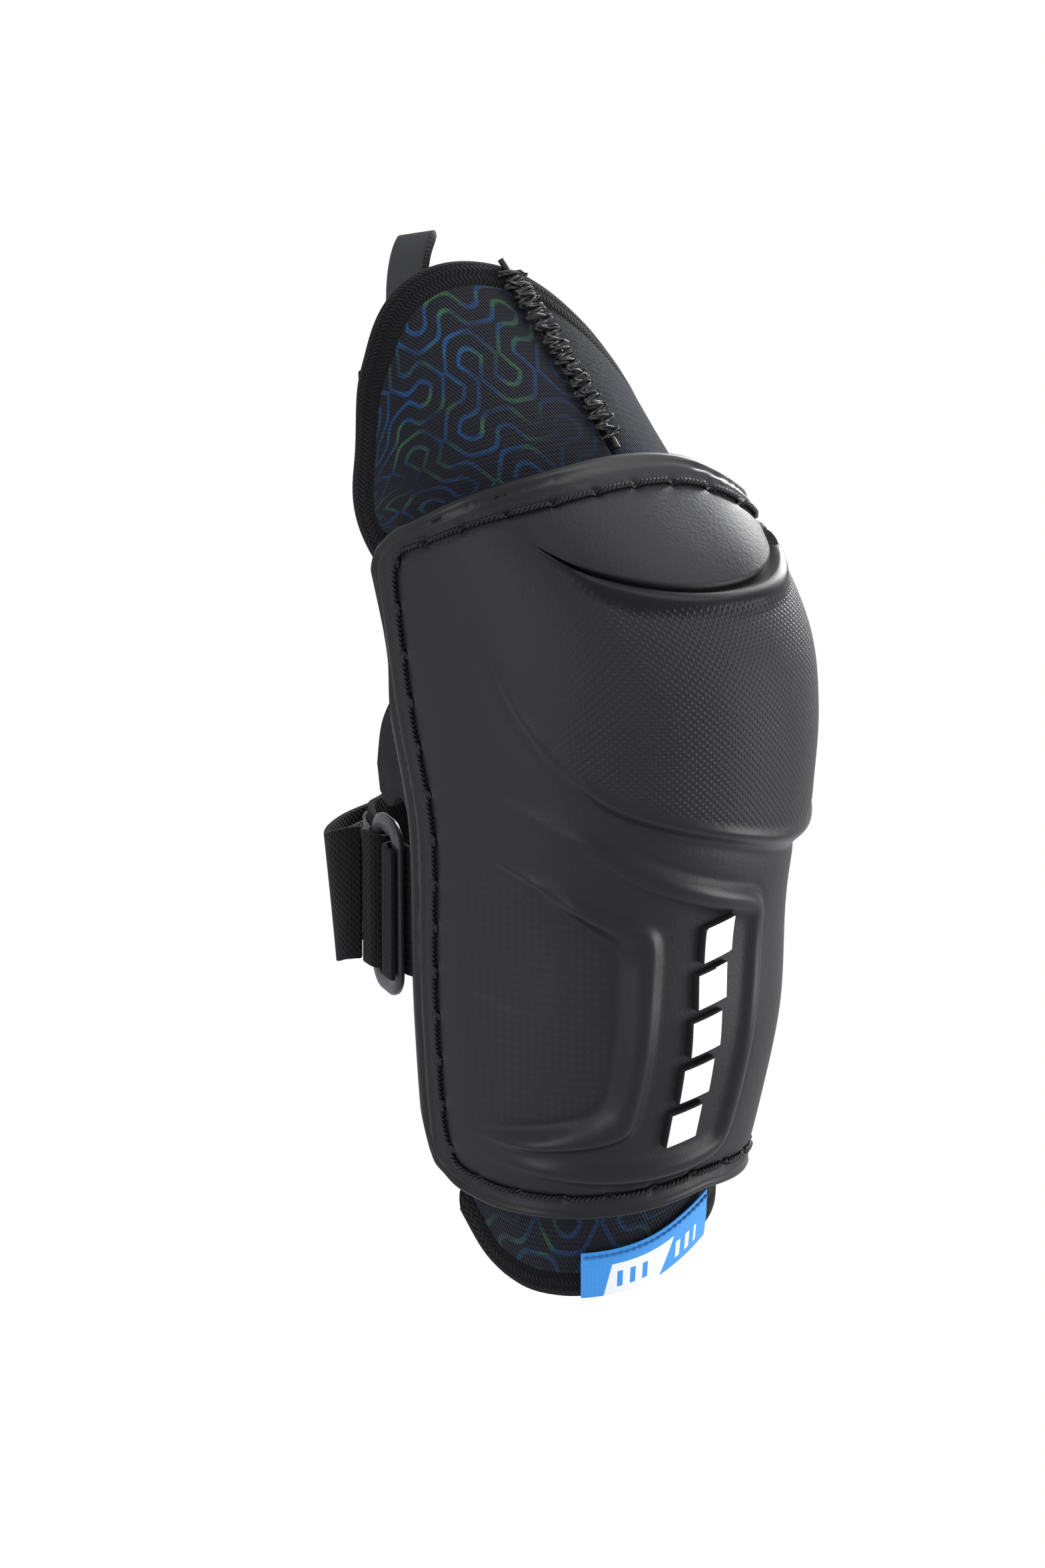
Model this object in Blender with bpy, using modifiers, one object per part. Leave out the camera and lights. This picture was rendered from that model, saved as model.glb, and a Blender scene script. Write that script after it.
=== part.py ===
"""Youth ice hockey elbow guard: moulded cap, padded carrier, leaning upper-arm flare, straps and ring.

Metres, +Z up along the forearm, the elbow dome towards -Y. The origin is on the forearm's axis, level
with the bottom of the cuff. Profiles below are in millimetres and are scaled once, by MM.
An angle round the limb is 0 at the front, negative on the wearer-facing left (-X).
"""
import math

import bpy
import numpy as np
from mathutils import Matrix, Vector

MM = 0.001

# ---- driving dimensions, mm -------------------------------------------------------------------------
LEVELS = (18, 40, 65, 100, 125, 145, 165, 185, 200, 212)
CAP_HALF_WIDTH = (37, 40, 42, 43.5, 45.5, 47, 48, 48, 47, 45.5)
CAP_FRONT_Y = (-36.5, -42.5, -48.5, -51, -58, -60, -57, -44, -27, -12)
CAP_CENTRE_Y = (0, 0, 0, 1, 2, 4, 8, 14, 19, 23)
CAP_RIGHT_SHORTER = (0, 0, 0, 0, 0, 0.5, 2, 5, 7, 8)
CAP_SQUARENESS = 2.3
WALL_PER_DEGREE = 0.6
WALL_INWARD = 0.0035
CAP_WALL = 2.6
CAP_BOTTOM = 22.5
CAP_TOP = 208

FLARE_LEVELS = (170, 185, 206, 226, 250, 262)
FLARE_HALF_WIDTH = (43.5, 44, 44, 43.5, 43, 43)
FLARE_FRONT_Y = (-37, -26.5, -9, 8, 28, 37)
FLARE_CENTRE_Y = (34, 35.5, 38.5, 48, 67, 77)
FLARE_RIGHT_SHORTER = (0, 1, 6, 8, 8, 8)
FLARE_SQUARENESS = 2.1
FLARE_THICKNESS = 5.0
FLARE_BOTTOM = 188

CUFF_LEVELS = (-2, 10, 25, 50)
CUFF_HALF_WIDTH = (30, 31, 32, 33.5)
CUFF_FRONT_Y = (-31, -32, -33, -35.5)
CUFF_THICKNESS = 4.0

STRAP_CENTRE_Y = 19.0
STRAP_RUN_RADIUS = 39.2
STRAP_THICKNESS = 1.6
STRAP_MIDDLE_Z = 91.0
STRAP_WIDTH = 34.0
TAB_WIDTH = 33.0
RING_HEIGHT = 45.0
RING_WIDTH = 17.2
RING_BAR = 4.4
RING_THICKNESS = 2.4
BINDING_RADIUS = 2.7
BICEP_STRAP_WIDTH = 25.0
BICEP_REACH = 34.8
BICEP_BOW = 22.0
THREAD_RADIUS = 0.9
EMBLEM_BARS = 5

FLEX_AXIS = (0.0, 21.0, 181.0)
RING_PIVOT = (-37.0, 27.2)
RING_TURN = math.radians(-25)
# Webbing paths by the ring: distance behind its front bar, and distance outside its plane.
TAB_WRAP = ((0.2, -2.5), (2.0, -2.5), (4.2, -1.6), (4.8, 0.2), (4.0, 1.9), (2.0, 2.5), (-1.5, 2.5), (-3.0, 2.5))
STRAP_TURN = ((15.0, 2.6), (12.5, 2.5), (10.2, 2.2), (8.8, 1.0), (8.8, -1.0), (10.2, -2.2), (12.5, -2.5),
              (15.4, -2.6))
TAIL_PIVOT = (16.0, 2.6)
RUN_START = (16.2, -2.6)
TAIL_START = (17.2, 2.6)
TAIL_PATH = ((-33.6, 47.0), (-32.6, 52.2), (-27, 57.8), (-18, 61.8), (-9, 63.4), (0, 63.6),
             (9, 62.6))
TAIL_DROOP = 4.5
TAIL_LEAN = (-4.0, 0.5)


# ---- scene and materials ----------------------------------------------------------------------------
def clear_scene():
    for old in list(bpy.data.objects):
        bpy.data.objects.remove(old, do_unlink=True)


def new_collection(name):
    group = bpy.data.collections.new(name)
    bpy.context.scene.collection.children.link(group)
    return group


def make_material(name, colour, roughness, metallic=0.0):
    material = bpy.data.materials.new(name)
    material.use_nodes = True
    shader = material.node_tree.nodes["Principled BSDF"]
    shader.inputs["Base Color"].default_value = (*colour, 1.0)
    shader.inputs["Roughness"].default_value = roughness
    shader.inputs["Metallic"].default_value = metallic
    return material


clear_scene()
GUARD = new_collection("elbow_guard")
CUTTERS = new_collection("cutters")

MOULDED = make_material("moulded_plastic", (0.030, 0.031, 0.033), 0.42)
THREAD = make_material("bonded_thread", (0.012, 0.012, 0.013), 0.65)
WHITE_PRINT = make_material("white_print", (0.85, 0.86, 0.87), 0.45)
FOAM = make_material("closed_cell_foam", (0.10, 0.10, 0.11), 0.9)
PRINTED = make_material("printed_fabric", (0.020, 0.028, 0.045), 0.8)
BRUSHED = make_material("brushed_liner", (0.035, 0.036, 0.040), 0.95)
KNIT = make_material("knitted_elastic", (0.016, 0.016, 0.018), 0.85)
LABEL_BLUE = make_material("label_blue", (0.04, 0.30, 0.72), 0.7)
RING_PLASTIC = make_material("ring_plastic", (0.045, 0.047, 0.050), 0.35)
HOOK_LOOP = make_material("hook_and_loop", (0.020, 0.020, 0.022), 0.95)


# ---- the limb's surfaces ----------------------------------------------------------------------------
def smooth(height, levels, values):
    """A smooth curve through the values given at the levels, flat beyond both ends."""
    levels = np.asarray(levels, float)
    values = np.asarray(values, float)
    height = np.clip(np.asarray(height, float), levels[0], levels[-1])
    slopes = np.gradient(values, levels)
    low = np.clip(np.searchsorted(levels, height, side="right") - 1, 0, len(levels) - 2)
    span = levels[low + 1] - levels[low]
    s = (height - levels[low]) / span
    return ((2 * s**3 - 3 * s**2 + 1) * values[low] + (s**3 - 2 * s**2 + s) * span * slopes[low]
            + (-2 * s**3 + 3 * s**2) * values[low + 1] + (s**3 - s**2) * span * slopes[low + 1])


def superellipse(turn, half_width, centre_y, front_y, squareness):
    sine = np.sin(turn)
    cosine = np.cos(turn)
    reach = (np.abs(sine)**squareness + np.abs(cosine)**squareness)**(-1 / squareness)
    return half_width * sine * reach, centre_y - (centre_y - front_y) * cosine * reach


def cap_surface(angle, height):
    """Outer face of the cap: a squarish arch, whose walls run back past the limb's widest line."""
    turn = np.radians(np.clip(angle, -90, 90))
    half_width = smooth(height, LEVELS, CAP_HALF_WIDTH) - np.where(
        turn > 0, smooth(height, LEVELS, CAP_RIGHT_SHORTER), 0)
    x, y = superellipse(turn, half_width, smooth(height, LEVELS, CAP_CENTRE_Y),
                        smooth(height, LEVELS, CAP_FRONT_Y), CAP_SQUARENESS)
    past = np.maximum(np.abs(angle) - 90, 0)
    x = x - np.sign(angle) * WALL_INWARD * past**2
    y = y + WALL_PER_DEGREE * past
    return np.stack([x, y, height + 0 * x], -1)


def flare_surface(angle, height):
    """Outer face of the flare; its right half is a little narrower than its left half."""
    turn = np.radians(angle)
    half_width = smooth(height, FLARE_LEVELS, FLARE_HALF_WIDTH) - np.where(
        turn > 0, smooth(height, FLARE_LEVELS, FLARE_RIGHT_SHORTER), 0)
    x, y = superellipse(turn, half_width,
                        smooth(height, FLARE_LEVELS, FLARE_CENTRE_Y),
                        smooth(height, FLARE_LEVELS, FLARE_FRONT_Y), FLARE_SQUARENESS)
    return np.stack([x, y, height + 0 * x], -1)


def cuff_surface(angle, height):
    turn = np.radians(np.clip(angle, -90, 90))
    x, y = superellipse(turn, smooth(height, CUFF_LEVELS, CUFF_HALF_WIDTH), 0,
                        smooth(height, CUFF_LEVELS, CUFF_FRONT_Y), FLARE_SQUARENESS)
    past = np.maximum(np.abs(angle) - 90, 0)
    return np.stack([x, y + WALL_PER_DEGREE * past, height + 0 * x], -1)


def sunk(surface, angle, height, depth):
    """Points at a depth below a surface, measured along its own normals."""
    step = 0.05
    across = surface(angle + step, height) - surface(angle - step, height)
    up = surface(angle, height + step) - surface(angle, height - step)
    normal = np.cross(across, up)
    normal /= np.linalg.norm(normal, axis=-1, keepdims=True)
    return surface(angle, height) - np.asarray(depth)[..., None] * normal


# ---- outlines on those surfaces ---------------------------------------------------------------------
def cap_edge_angle(height):
    """How far round the cap reaches at a height."""
    return smooth(height, (22, 86, 119, 145, 166, 182, 208), (124, 124, 119, 123, 120, 116, 112))


def cap_top(angle):
    """The cap's top rim, which falls sooner on the right."""
    return smooth(angle, (-116, -108, -100, -87, -70, -35, 0, 19, 32, 48, 65, 90, 116),
                  (178, 185, 189, 194, 200.5, 207.5, 207.5, 204, 199, 192, 187, 182, 175))


def cap_bottom(angle):
    return smooth(np.abs(angle), (0, 30, 60, 90, 108, 118, 124),
                  (CAP_BOTTOM + 3, CAP_BOTTOM + 1, CAP_BOTTOM, CAP_BOTTOM + 1, CAP_BOTTOM + 4,
                   CAP_BOTTOM + 9, CAP_BOTTOM + 20))


def flare_top(angle):
    """The flare's edge: highest left of the middle, falling to both wings."""
    return smooth(angle, (-88, -80, -73, -60, -48, -35, -20, -8, 10, 25, 40, 60, 75, 88),
                  (196, 211, 222, 234, 242.5, 248, 250, 248.5, 242, 233, 221, 207, 199, 194))


def flare_panel_top(angle):
    """The edge of the panels, inside the binding that wraps them."""
    return flare_top(angle + np.sign(angle) * 4.5) - 6.6


# ---- meshes -----------------------------------------------------------------------------------------
def add_object(name, mesh, material, location=(0, 0, 0), parent=None):
    item = bpy.data.objects.new(name, mesh)
    item.location = location
    item.data.materials.append(material)
    GUARD.objects.link(item)
    if parent is not None:
        item.parent = parent
    return item


def grid_mesh(name, points):
    """An open sheet through a grid of points, its faces pointing away from the limb."""
    rows, columns = points.shape[:2]
    mesh = bpy.data.meshes.new(name)
    faces = [(r * columns + c, r * columns + c + 1, (r + 1) * columns + c + 1, (r + 1) * columns + c)
             for r in range(rows - 1) for c in range(columns - 1)]
    mesh.from_pydata((points.reshape(-1, 3) * MM).tolist(), [], faces)
    mesh.update()
    return mesh


def thicken(item, thickness):
    solid = item.modifiers.new("thickness", "SOLIDIFY")
    solid.thickness = thickness * MM
    solid.offset = -1
    solid.use_even_offset = True
    return item


def place_under(item, parent):
    """Parent a world-placed object to a pivot without moving it."""
    item.parent = parent
    item.matrix_parent_inverse = parent.matrix_world.inverted()
    return item


def panel(name, surface, material, angles, low, high, depth, thickness, steps=(20, 14)):
    """A layer of the pad: part of a surface between two angles and two edge curves, sunk and thickened."""
    across = np.linspace(angles[0], angles[1], steps[0] + 1)
    bottom = low(across) if callable(low) else np.full_like(across, low)
    top = high(across) if callable(high) else np.full_like(across, high)
    share = np.linspace(0, 1, steps[1] + 1)[:, None]
    height = bottom + (top - bottom) * share
    angle = across + 0 * share
    sink = depth(angle, height) if callable(depth) else np.full_like(height, depth)
    item = add_object(name, grid_mesh(name, sunk(surface, angle, height, sink)), material)
    return thicken(item, thickness)


def tube(name, points, radius, material, closed=False):
    """A wire of round section through points in mm."""
    curve = bpy.data.curves.new(name, "CURVE")
    curve.dimensions = "3D"
    curve.bevel_depth = radius * MM
    curve.bevel_resolution = 1
    curve.use_fill_caps = not closed
    spline = curve.splines.new("POLY")
    spline.points.add(len(points) - 1)
    for target, point in zip(spline.points, points):
        target.co = (*(Vector(point) * MM), 1.0)
    spline.use_cyclic_u = closed
    item = bpy.data.objects.new(name, curve)
    item.data.materials.append(material)
    GUARD.objects.link(item)
    return item


def band(name, path, widths, material, thickness):
    """A strap: a sheet that follows a path, with a width vector at each point, thickened outwards."""
    path = np.asarray(path, float)
    widths = np.asarray(widths, float) + 0 * path
    points = np.stack([path - widths / 2, path, path + widths / 2], 0)
    item = add_object(name, grid_mesh(name, points), material)
    solid = item.modifiers.new("thickness", "SOLIDIFY")
    solid.thickness = thickness * MM
    solid.offset = 0
    solid.use_even_offset = True
    return item


def at_ring(behind, outside):
    """A point placed by its distance behind the ring's front bar and outside the ring's plane."""
    along = Vector((math.sin(-RING_TURN), math.cos(RING_TURN)))
    outward = Vector((-along.y, along.x))
    return tuple(Vector(RING_PIVOT) + along * behind + outward * outside)


def flowing(points, spacing=2.6):
    """Points along a smooth curve through the given ones (Catmull-Rom)."""
    ends = [Vector(points[0]) * 2 - Vector(points[1]), Vector(points[-1]) * 2 - Vector(points[-2])]
    knots = [ends[0], *map(Vector, points), ends[1]]
    route = []
    for a, b, c, d in zip(knots, knots[1:], knots[2:], knots[3:]):
        steps = max(1, round((c - b).length / spacing))
        for step in range(steps):
            t = step / steps
            route.append((b * 2 + (c - a) * t + (a * 2 - b * 5 + c * 4 - d) * t**2
                          + (b * 3 - a - c * 3 + d) * t**3) / 2)
    return route + [knots[-2]]


def at_strap_height(points):
    return [(x, y, STRAP_MIDDLE_Z) for x, y in points]


def beside(points, distance):
    """A path moved sideways; positive is away from the arm for paths that run left to right."""
    shifted = []
    for index, point in enumerate(points):
        ahead = points[min(index + 1, len(points) - 1)] - points[max(index - 1, 0)]
        shifted.append(point + Vector((-ahead.y, ahead.x)).normalized() * distance)
    return shifted


def under_cap(angles, depth, width):
    """Webbing that lies between the cap and a side wing: its middle points and its width vectors."""
    angles = np.array(angles, float)
    deep = np.full(len(angles), depth)
    low = sunk(cap_surface, angles, np.full(len(angles), STRAP_MIDDLE_Z - width / 2), deep)
    high = sunk(cap_surface, angles, np.full(len(angles), STRAP_MIDDLE_Z + width / 2), deep)
    return (low + high) / 2, high - low


def drooping(points, width, settled=False):
    """The tail's path and widths: it sinks and leans a little as it leaves the ring."""
    path, widths = [], []
    for index, (x, y) in enumerate(points):
        share = 1.0 if settled else min(index / 6, 1.0)
        share = share * share * (3 - 2 * share)
        path.append((x, y, STRAP_MIDDLE_Z - TAIL_DROOP * share))
        widths.append((TAIL_LEAN[0] * share, TAIL_LEAN[1] * share, width))
    return path, widths


def run_path():
    """The strap's run from the ring round the back to the cap's right edge."""
    arc = [(STRAP_RUN_RADIUS * math.sin(math.radians(a)),
            STRAP_CENTRE_Y + STRAP_RUN_RADIUS * math.cos(math.radians(a))) for a in range(-28, 61, 11)]
    return flowing([at_ring(*RUN_START), *arc, (35.2, 30.5)])


# ---- cap and what sits on it ------------------------------------------------------------------------
def build_cap():
    columns, rows = 34, 30
    share = np.linspace(-1, 1, columns + 1)
    up = np.linspace(0, 1, rows + 1)[:, None]
    nominal = CAP_BOTTOM + (CAP_TOP - CAP_BOTTOM) * up
    angle = share * cap_edge_angle(nominal)
    height = cap_bottom(angle) + (cap_top(angle) - cap_bottom(angle)) * up
    cap = add_object("cap_shell", grid_mesh("cap_shell", cap_surface(angle, height)), MOULDED)
    return thicken(cap, CAP_WALL)


def build_thread():
    """One thread laid round the cap, in from its edge by the width of the flat band."""
    inset = 5.5
    side = np.linspace(CAP_BOTTOM + 18, 176, 22)
    left = [(-(cap_edge_angle(z) - inset * 1.6), z) for z in side[::-1]]
    low = [(a, cap_bottom(a) + inset) for a in np.linspace(-106, 106, 36)]
    right = [(-a, z) for a, z in left[::-1]]
    top = [(a, cap_top(a) - inset) for a in np.linspace(106, -106, 36)]
    route = np.array(left + low + right + top)
    points = sunk(cap_surface, route[:, 0], route[:, 1], np.full(len(route), -THREAD_RADIUS - 0.35))
    return tube("cap_thread", points, THREAD_RADIUS, THREAD, closed=True)


def build_emblem_bars():
    """Five plain slanted bars in a column on the forearm plate."""
    for number in range(EMBLEM_BARS):
        middle = 47.5 + number * 11.9
        angle = np.array([-18.5 + number * 1.7] * 2) + np.array([-6.0, 6.0])
        height = np.array([middle - 4.6, middle + 4.6])
        grid_angle, grid_height = np.meshgrid(np.linspace(*angle, 5), np.linspace(*height, 3))
        slant = (grid_angle - angle.mean()) * 0.16
        points = sunk(cap_surface, grid_angle, grid_height + slant, np.full_like(grid_angle, -1.8))
        bar = add_object(f"emblem_bar_{number + 1}", grid_mesh("bar", points), WHITE_PRINT)
        thicken(bar, 1.4)


# ---- padding and carrier ----------------------------------------------------------------------------
def carrier_depth(angle, height):
    return np.interp(height, (86, 106), (9.2, 12.8))


def wing_low(angle):
    return smooth(np.abs(angle), (98, 115, 124, 130, 135, 150, 156), (74, 70, 80, 100, 114, 114.5, 117))


def wing_high(angle):
    return smooth(np.abs(angle), (98, 115, 130, 141, 150, 156), (150, 150, 147, 141, 133, 124))


def wing_depth(angle, height):
    return np.interp(np.abs(angle), (124, 156), (5.9, 1.0))


def build_padding():
    panel("elbow_foam", cap_surface, FOAM, (-88, 88), 108, 168, 3.1, 9.2, (16, 8))
    panel("forearm_foam", cap_surface, FOAM, (-94, 94), 50, 104, 3.1, 5.6, (16, 6))
    panel("chassis_cover", cap_surface, PRINTED, (-104, 104), 50, 171, carrier_depth, 1.2, (20, 12))
    panel("arm_liner", cap_surface, BRUSHED, (-100, 100), 53, 168,
          lambda a, z: carrier_depth(a, z) + 1.7, 2.2, (18, 12))
    panel("left_side_wing", cap_surface, PRINTED, (-98, -156), wing_high, wing_low, wing_depth, 2.4, (14, 6))
    panel("right_side_wing", cap_surface, PRINTED, (98, 156), wing_low, wing_high, wing_depth, 2.4, (14, 6))


def cuff_low(angle):
    """The cuff's bottom edge: lowest on the left, and rising to the right."""
    return smooth(angle, (-108, -95, -80, -60, -45, -20, 0, 14, 40, 70, 108),
                  (16, 6, 1.5, 0, 0.5, 3.2, 7.5, 10.5, 13, 15, 22))


def build_cuff():
    panel("cuff_pad", cuff_surface, PRINTED, (-108, 108), lambda a: cuff_low(a) + 3.8, 46, 0.6,
          CUFF_THICKNESS, (20, 5))
    across = np.linspace(-108, 108, 33)
    rim = sunk(cuff_surface, across, cuff_low(across) + 0.3, np.full(33, 2.6))
    tube("cuff_binding", rim, 2.2, KNIT)
    label = (-50, 14)
    panel("size_label", cuff_surface, LABEL_BLUE, label, lambda a: cuff_low(a) + 3.2,
          lambda a: cuff_low(a) + 13.5, -0.6, 0.8, (12, 3))


# ---- flare ------------------------------------------------------------------------------------------
def build_flare(pivot):
    join = 0.5
    for name, angles in (("flare_panel_left", (-81, -join)), ("flare_panel_right", (join, 81))):
        item = panel(name, flare_surface, PRINTED, angles, FLARE_BOTTOM, flare_panel_top,
                     0.0, FLARE_THICKNESS, (14, 10))
        place_under(item, pivot)
    lining = panel("flare_lining", flare_surface, BRUSHED, (-80, 80), FLARE_BOTTOM + 1,
                   lambda a: flare_panel_top(a) - 1, FLARE_THICKNESS + 0.4, 1.2, (20, 8))
    place_under(lining, pivot)
    across = np.linspace(-86, 86, 41)
    side = np.linspace(FLARE_BOTTOM + 2, 198, 4)
    angle = np.concatenate([np.full(4, -86.0), across, np.full(4, 86.0)])
    height = np.concatenate([side, flare_top(across) - 2.4, side[::-1]])
    edge = sunk(flare_surface, angle, height, np.full(len(angle), 3.0))
    place_under(tube("flare_binding", edge, BINDING_RADIUS, KNIT), pivot)
    rise = np.linspace(212, 243, 12)
    seam = sunk(flare_surface, 0 * rise, rise, np.full(12, -1.6))
    place_under(tube("flare_seam", seam, 1.2, THREAD), pivot)


BICEP_UP = np.array((0, 0.6, 0.8))
BICEP_BACK = np.array((0, 0.8, -0.6))


def bicep_path(first, last, count, out=0.0):
    """The upper-arm strap's bow behind the flare; -1 and 1 are its ends, out is away from the arm."""
    points = []
    for a in np.linspace(first, last, count):
        slope = 2 * BICEP_BOW * a / BICEP_REACH
        shift = np.array((slope, 1.0)) * out / math.hypot(slope, 1.0)
        bow = BICEP_BOW * (1 - a * a) + shift[1]
        points.append(np.array((BICEP_REACH * a + shift[0], 33, 214)) + BICEP_BACK * bow)
    return points


def build_bicep_strap(pivot, tab_pivot):
    strap = band("bicep_strap", bicep_path(-1, 1, 21), BICEP_UP * BICEP_STRAP_WIDTH, KNIT, 1.6)
    place_under(strap, pivot)
    patch = band("bicep_strap_patch", bicep_path(0.72, 0.96, 5, 1.5), BICEP_UP * 20, THREAD, 0.7)
    place_under(patch, pivot)
    path = [(-8, 49, 222), (-9, 49, 229), (-10, 48, 238), (-9, 48, 245), (-8, 49, 249)]
    tab = band("bicep_strap_end", path, (8, 19, -6), HOOK_LOOP, 1.8)
    place_under(tab, tab_pivot)


# ---- forearm strap and ring -------------------------------------------------------------------------
def rounded_outline(curve, left, right, half_height, corner, steps=5):
    """Adds a closed rounded rectangle to a flat curve."""
    points = []
    centres = ((right - corner, half_height - corner, 0), (left + corner, half_height - corner, 90),
               (left + corner, corner - half_height, 180), (right - corner, corner - half_height, 270))
    for cx, cy, first in centres:
        for step in range(steps + 1):
            angle = math.radians(first + 90 * step / steps)
            points.append((cx + corner * math.cos(angle), cy + corner * math.sin(angle)))
    spline = curve.splines.new("POLY")
    spline.points.add(len(points) - 1)
    for target, (x, y) in zip(spline.points, points):
        target.co = (x * MM, y * MM, 0, 1)
    spline.use_cyclic_u = True


def build_ring(pivot):
    """A flat ring with one long slot: the tab holds its front bar, the strap turns round its rear bar."""
    curve = bpy.data.curves.new("forearm_ring", "CURVE")
    curve.dimensions = "2D"
    curve.fill_mode = "BOTH"
    curve.extrude = RING_THICKNESS / 2 * MM
    rounded_outline(curve, -RING_BAR / 2, RING_WIDTH - RING_BAR / 2, RING_HEIGHT / 2, 4.5)
    rounded_outline(curve, RING_BAR / 2, RING_WIDTH - 1.5 * RING_BAR, RING_HEIGHT / 2 - RING_BAR, 1.5)
    ring = bpy.data.objects.new("forearm_ring", curve)
    ring.data.materials.append(RING_PLASTIC)
    GUARD.objects.link(ring)
    along = Vector((math.sin(-RING_TURN), math.cos(RING_TURN), 0))
    basis = Matrix((along, Vector((0, 0, 1)), along.cross(Vector((0, 0, 1))))).transposed()
    ring.matrix_world = Matrix.Translation(Vector((*RING_PIVOT, STRAP_MIDDLE_Z)) * MM) @ basis.to_4x4()
    bpy.context.view_layer.update()
    place_under(ring, pivot)


def build_forearm_strap(ring_pivot, tail_pivot):
    upright = (0, 0, STRAP_WIDTH)
    run = run_path()
    tail = flowing([at_ring(*TAIL_START), *TAIL_PATH])
    sewn_end, sewn_widths = under_cap((127, 121, 115, 109), 4.2, STRAP_WIDTH)
    widths = [upright] * len(run) + list(sewn_widths)
    band("forearm_strap", at_strap_height(run) + list(sewn_end), widths, KNIT, STRAP_THICKNESS)
    loop = [p for p in run if -24 < p.x < 12]
    band("strap_loop_patch", at_strap_height(beside(loop, 1.5)), (0, 0, 28), HOOK_LOOP, 0.8)
    sewn = [p for p in run if p.x > 30 and 27 < p.y < 38]
    band("forearm_strap_patch", at_strap_height(beside(sewn, 1.5)), (0, 0, 30), THREAD, 0.7)
    turn = [at_ring(*p) for p in STRAP_TURN]
    place_under(band("forearm_strap_turn", at_strap_height(turn), upright, KNIT, STRAP_THICKNESS), ring_pivot)
    path, widths = drooping(tail, STRAP_WIDTH)
    place_under(band("forearm_strap_tail", path, widths, KNIT, STRAP_THICKNESS), tail_pivot)
    hook = [p for p in tail if -19 < p.x < 8]
    path, widths = drooping(beside(hook, -1.5), 28, settled=True)
    place_under(band("tail_hook_patch", path, widths, HOOK_LOOP, 0.8), tail_pivot)
    held, held_widths = under_cap((-102, -108, -114, -120), 4.1, TAB_WIDTH)
    wrap = at_strap_height([at_ring(*p) for p in TAB_WRAP])
    widths = list(held_widths) + [(0, 0, TAB_WIDTH)] * len(wrap)
    band("ring_tab", list(held) + wrap, widths, KNIT, 1.2)


def new_pivot(name, location):
    pivot = bpy.data.objects.new(name, None)
    pivot.location = Vector(location) * MM
    pivot.empty_display_size = 0.01
    GUARD.objects.link(pivot)
    return pivot


def main():
    flex = new_pivot("flare_flex_pivot", FLEX_AXIS)
    tab_fold = new_pivot("bicep_end_pivot", (-9, 49, 218))
    ring_pivot = new_pivot("ring_pivot", (*RING_PIVOT, STRAP_MIDDLE_Z))
    tail_pivot = new_pivot("tail_pivot", (*at_ring(*TAIL_PIVOT), STRAP_MIDDLE_Z))
    bpy.context.view_layer.update()
    place_under(tab_fold, flex)
    place_under(tail_pivot, ring_pivot)
    build_cap()
    build_thread()
    build_emblem_bars()
    build_padding()
    build_cuff()
    build_flare(flex)
    build_bicep_strap(flex, tab_fold)
    build_ring(ring_pivot)
    build_forearm_strap(ring_pivot, tail_pivot)


main()
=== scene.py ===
"""Youth ice hockey elbow guard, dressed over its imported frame.

The frame gives the bodies, joints and sizes. Shapes here are laid out in millimetres on the same limb surfaces
as the frame's, and scaled once by MM. An angle round the limb is 0 at the front and negative on the left (-X).
"""
import math

import bmesh
import bpy
import numpy as np
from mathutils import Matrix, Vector


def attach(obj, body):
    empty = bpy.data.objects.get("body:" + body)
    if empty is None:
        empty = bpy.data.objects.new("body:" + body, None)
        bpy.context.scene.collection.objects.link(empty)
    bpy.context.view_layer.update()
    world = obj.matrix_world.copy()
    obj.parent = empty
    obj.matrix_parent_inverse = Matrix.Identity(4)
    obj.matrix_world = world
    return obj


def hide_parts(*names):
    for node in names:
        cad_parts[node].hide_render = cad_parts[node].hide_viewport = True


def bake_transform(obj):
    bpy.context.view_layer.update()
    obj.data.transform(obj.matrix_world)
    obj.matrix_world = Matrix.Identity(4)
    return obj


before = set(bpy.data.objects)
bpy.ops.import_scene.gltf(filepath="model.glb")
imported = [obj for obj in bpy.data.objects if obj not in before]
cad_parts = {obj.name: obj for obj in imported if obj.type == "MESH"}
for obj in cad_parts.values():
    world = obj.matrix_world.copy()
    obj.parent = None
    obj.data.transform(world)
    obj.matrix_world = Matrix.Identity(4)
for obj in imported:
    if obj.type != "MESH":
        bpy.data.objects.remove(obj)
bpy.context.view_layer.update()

MM = 0.001

# ---- the limb's surfaces, mm ----
LEVELS = (18, 40, 65, 100, 125, 145, 165, 185, 200, 212)
CAP_HALF_WIDTH = (37, 40, 42, 43.5, 45.5, 47, 48, 48, 47, 45.5)
CAP_FRONT_Y = (-36.5, -42.5, -48.5, -51, -58, -60, -57, -44, -27, -12)
CAP_CENTRE_Y = (0, 0, 0, 1, 2, 4, 8, 14, 19, 23)
CAP_RIGHT_SHORTER = (0, 0, 0, 0, 0, 0.5, 2, 5, 7, 8)
CAP_SQUARENESS = 2.3
WALL_PER_DEGREE = 0.6
WALL_INWARD = 0.0035
CAP_WALL = 2.6
CAP_BOTTOM = 22.5
CAP_TOP = 208
FLARE_LEVELS = (170, 185, 206, 226, 250, 262)
FLARE_HALF_WIDTH = (43.5, 44, 44, 43.5, 43, 43)
FLARE_FRONT_Y = (-37, -26.5, -9, 8, 28, 37)
FLARE_CENTRE_Y = (34, 35.5, 38.5, 48, 67, 77)
FLARE_RIGHT_SHORTER = (0, 1, 6, 8, 8, 8)
FLARE_SQUARENESS = 2.1
FLARE_THICKNESS = 5.0
FLARE_BOTTOM = 188
CUFF_LEVELS = (-2, 10, 25, 50)
CUFF_HALF_WIDTH = (30, 31, 32, 33.5)
CUFF_FRONT_Y = (-31, -32, -33, -35.5)
CUFF_THICKNESS = 4.0
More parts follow.
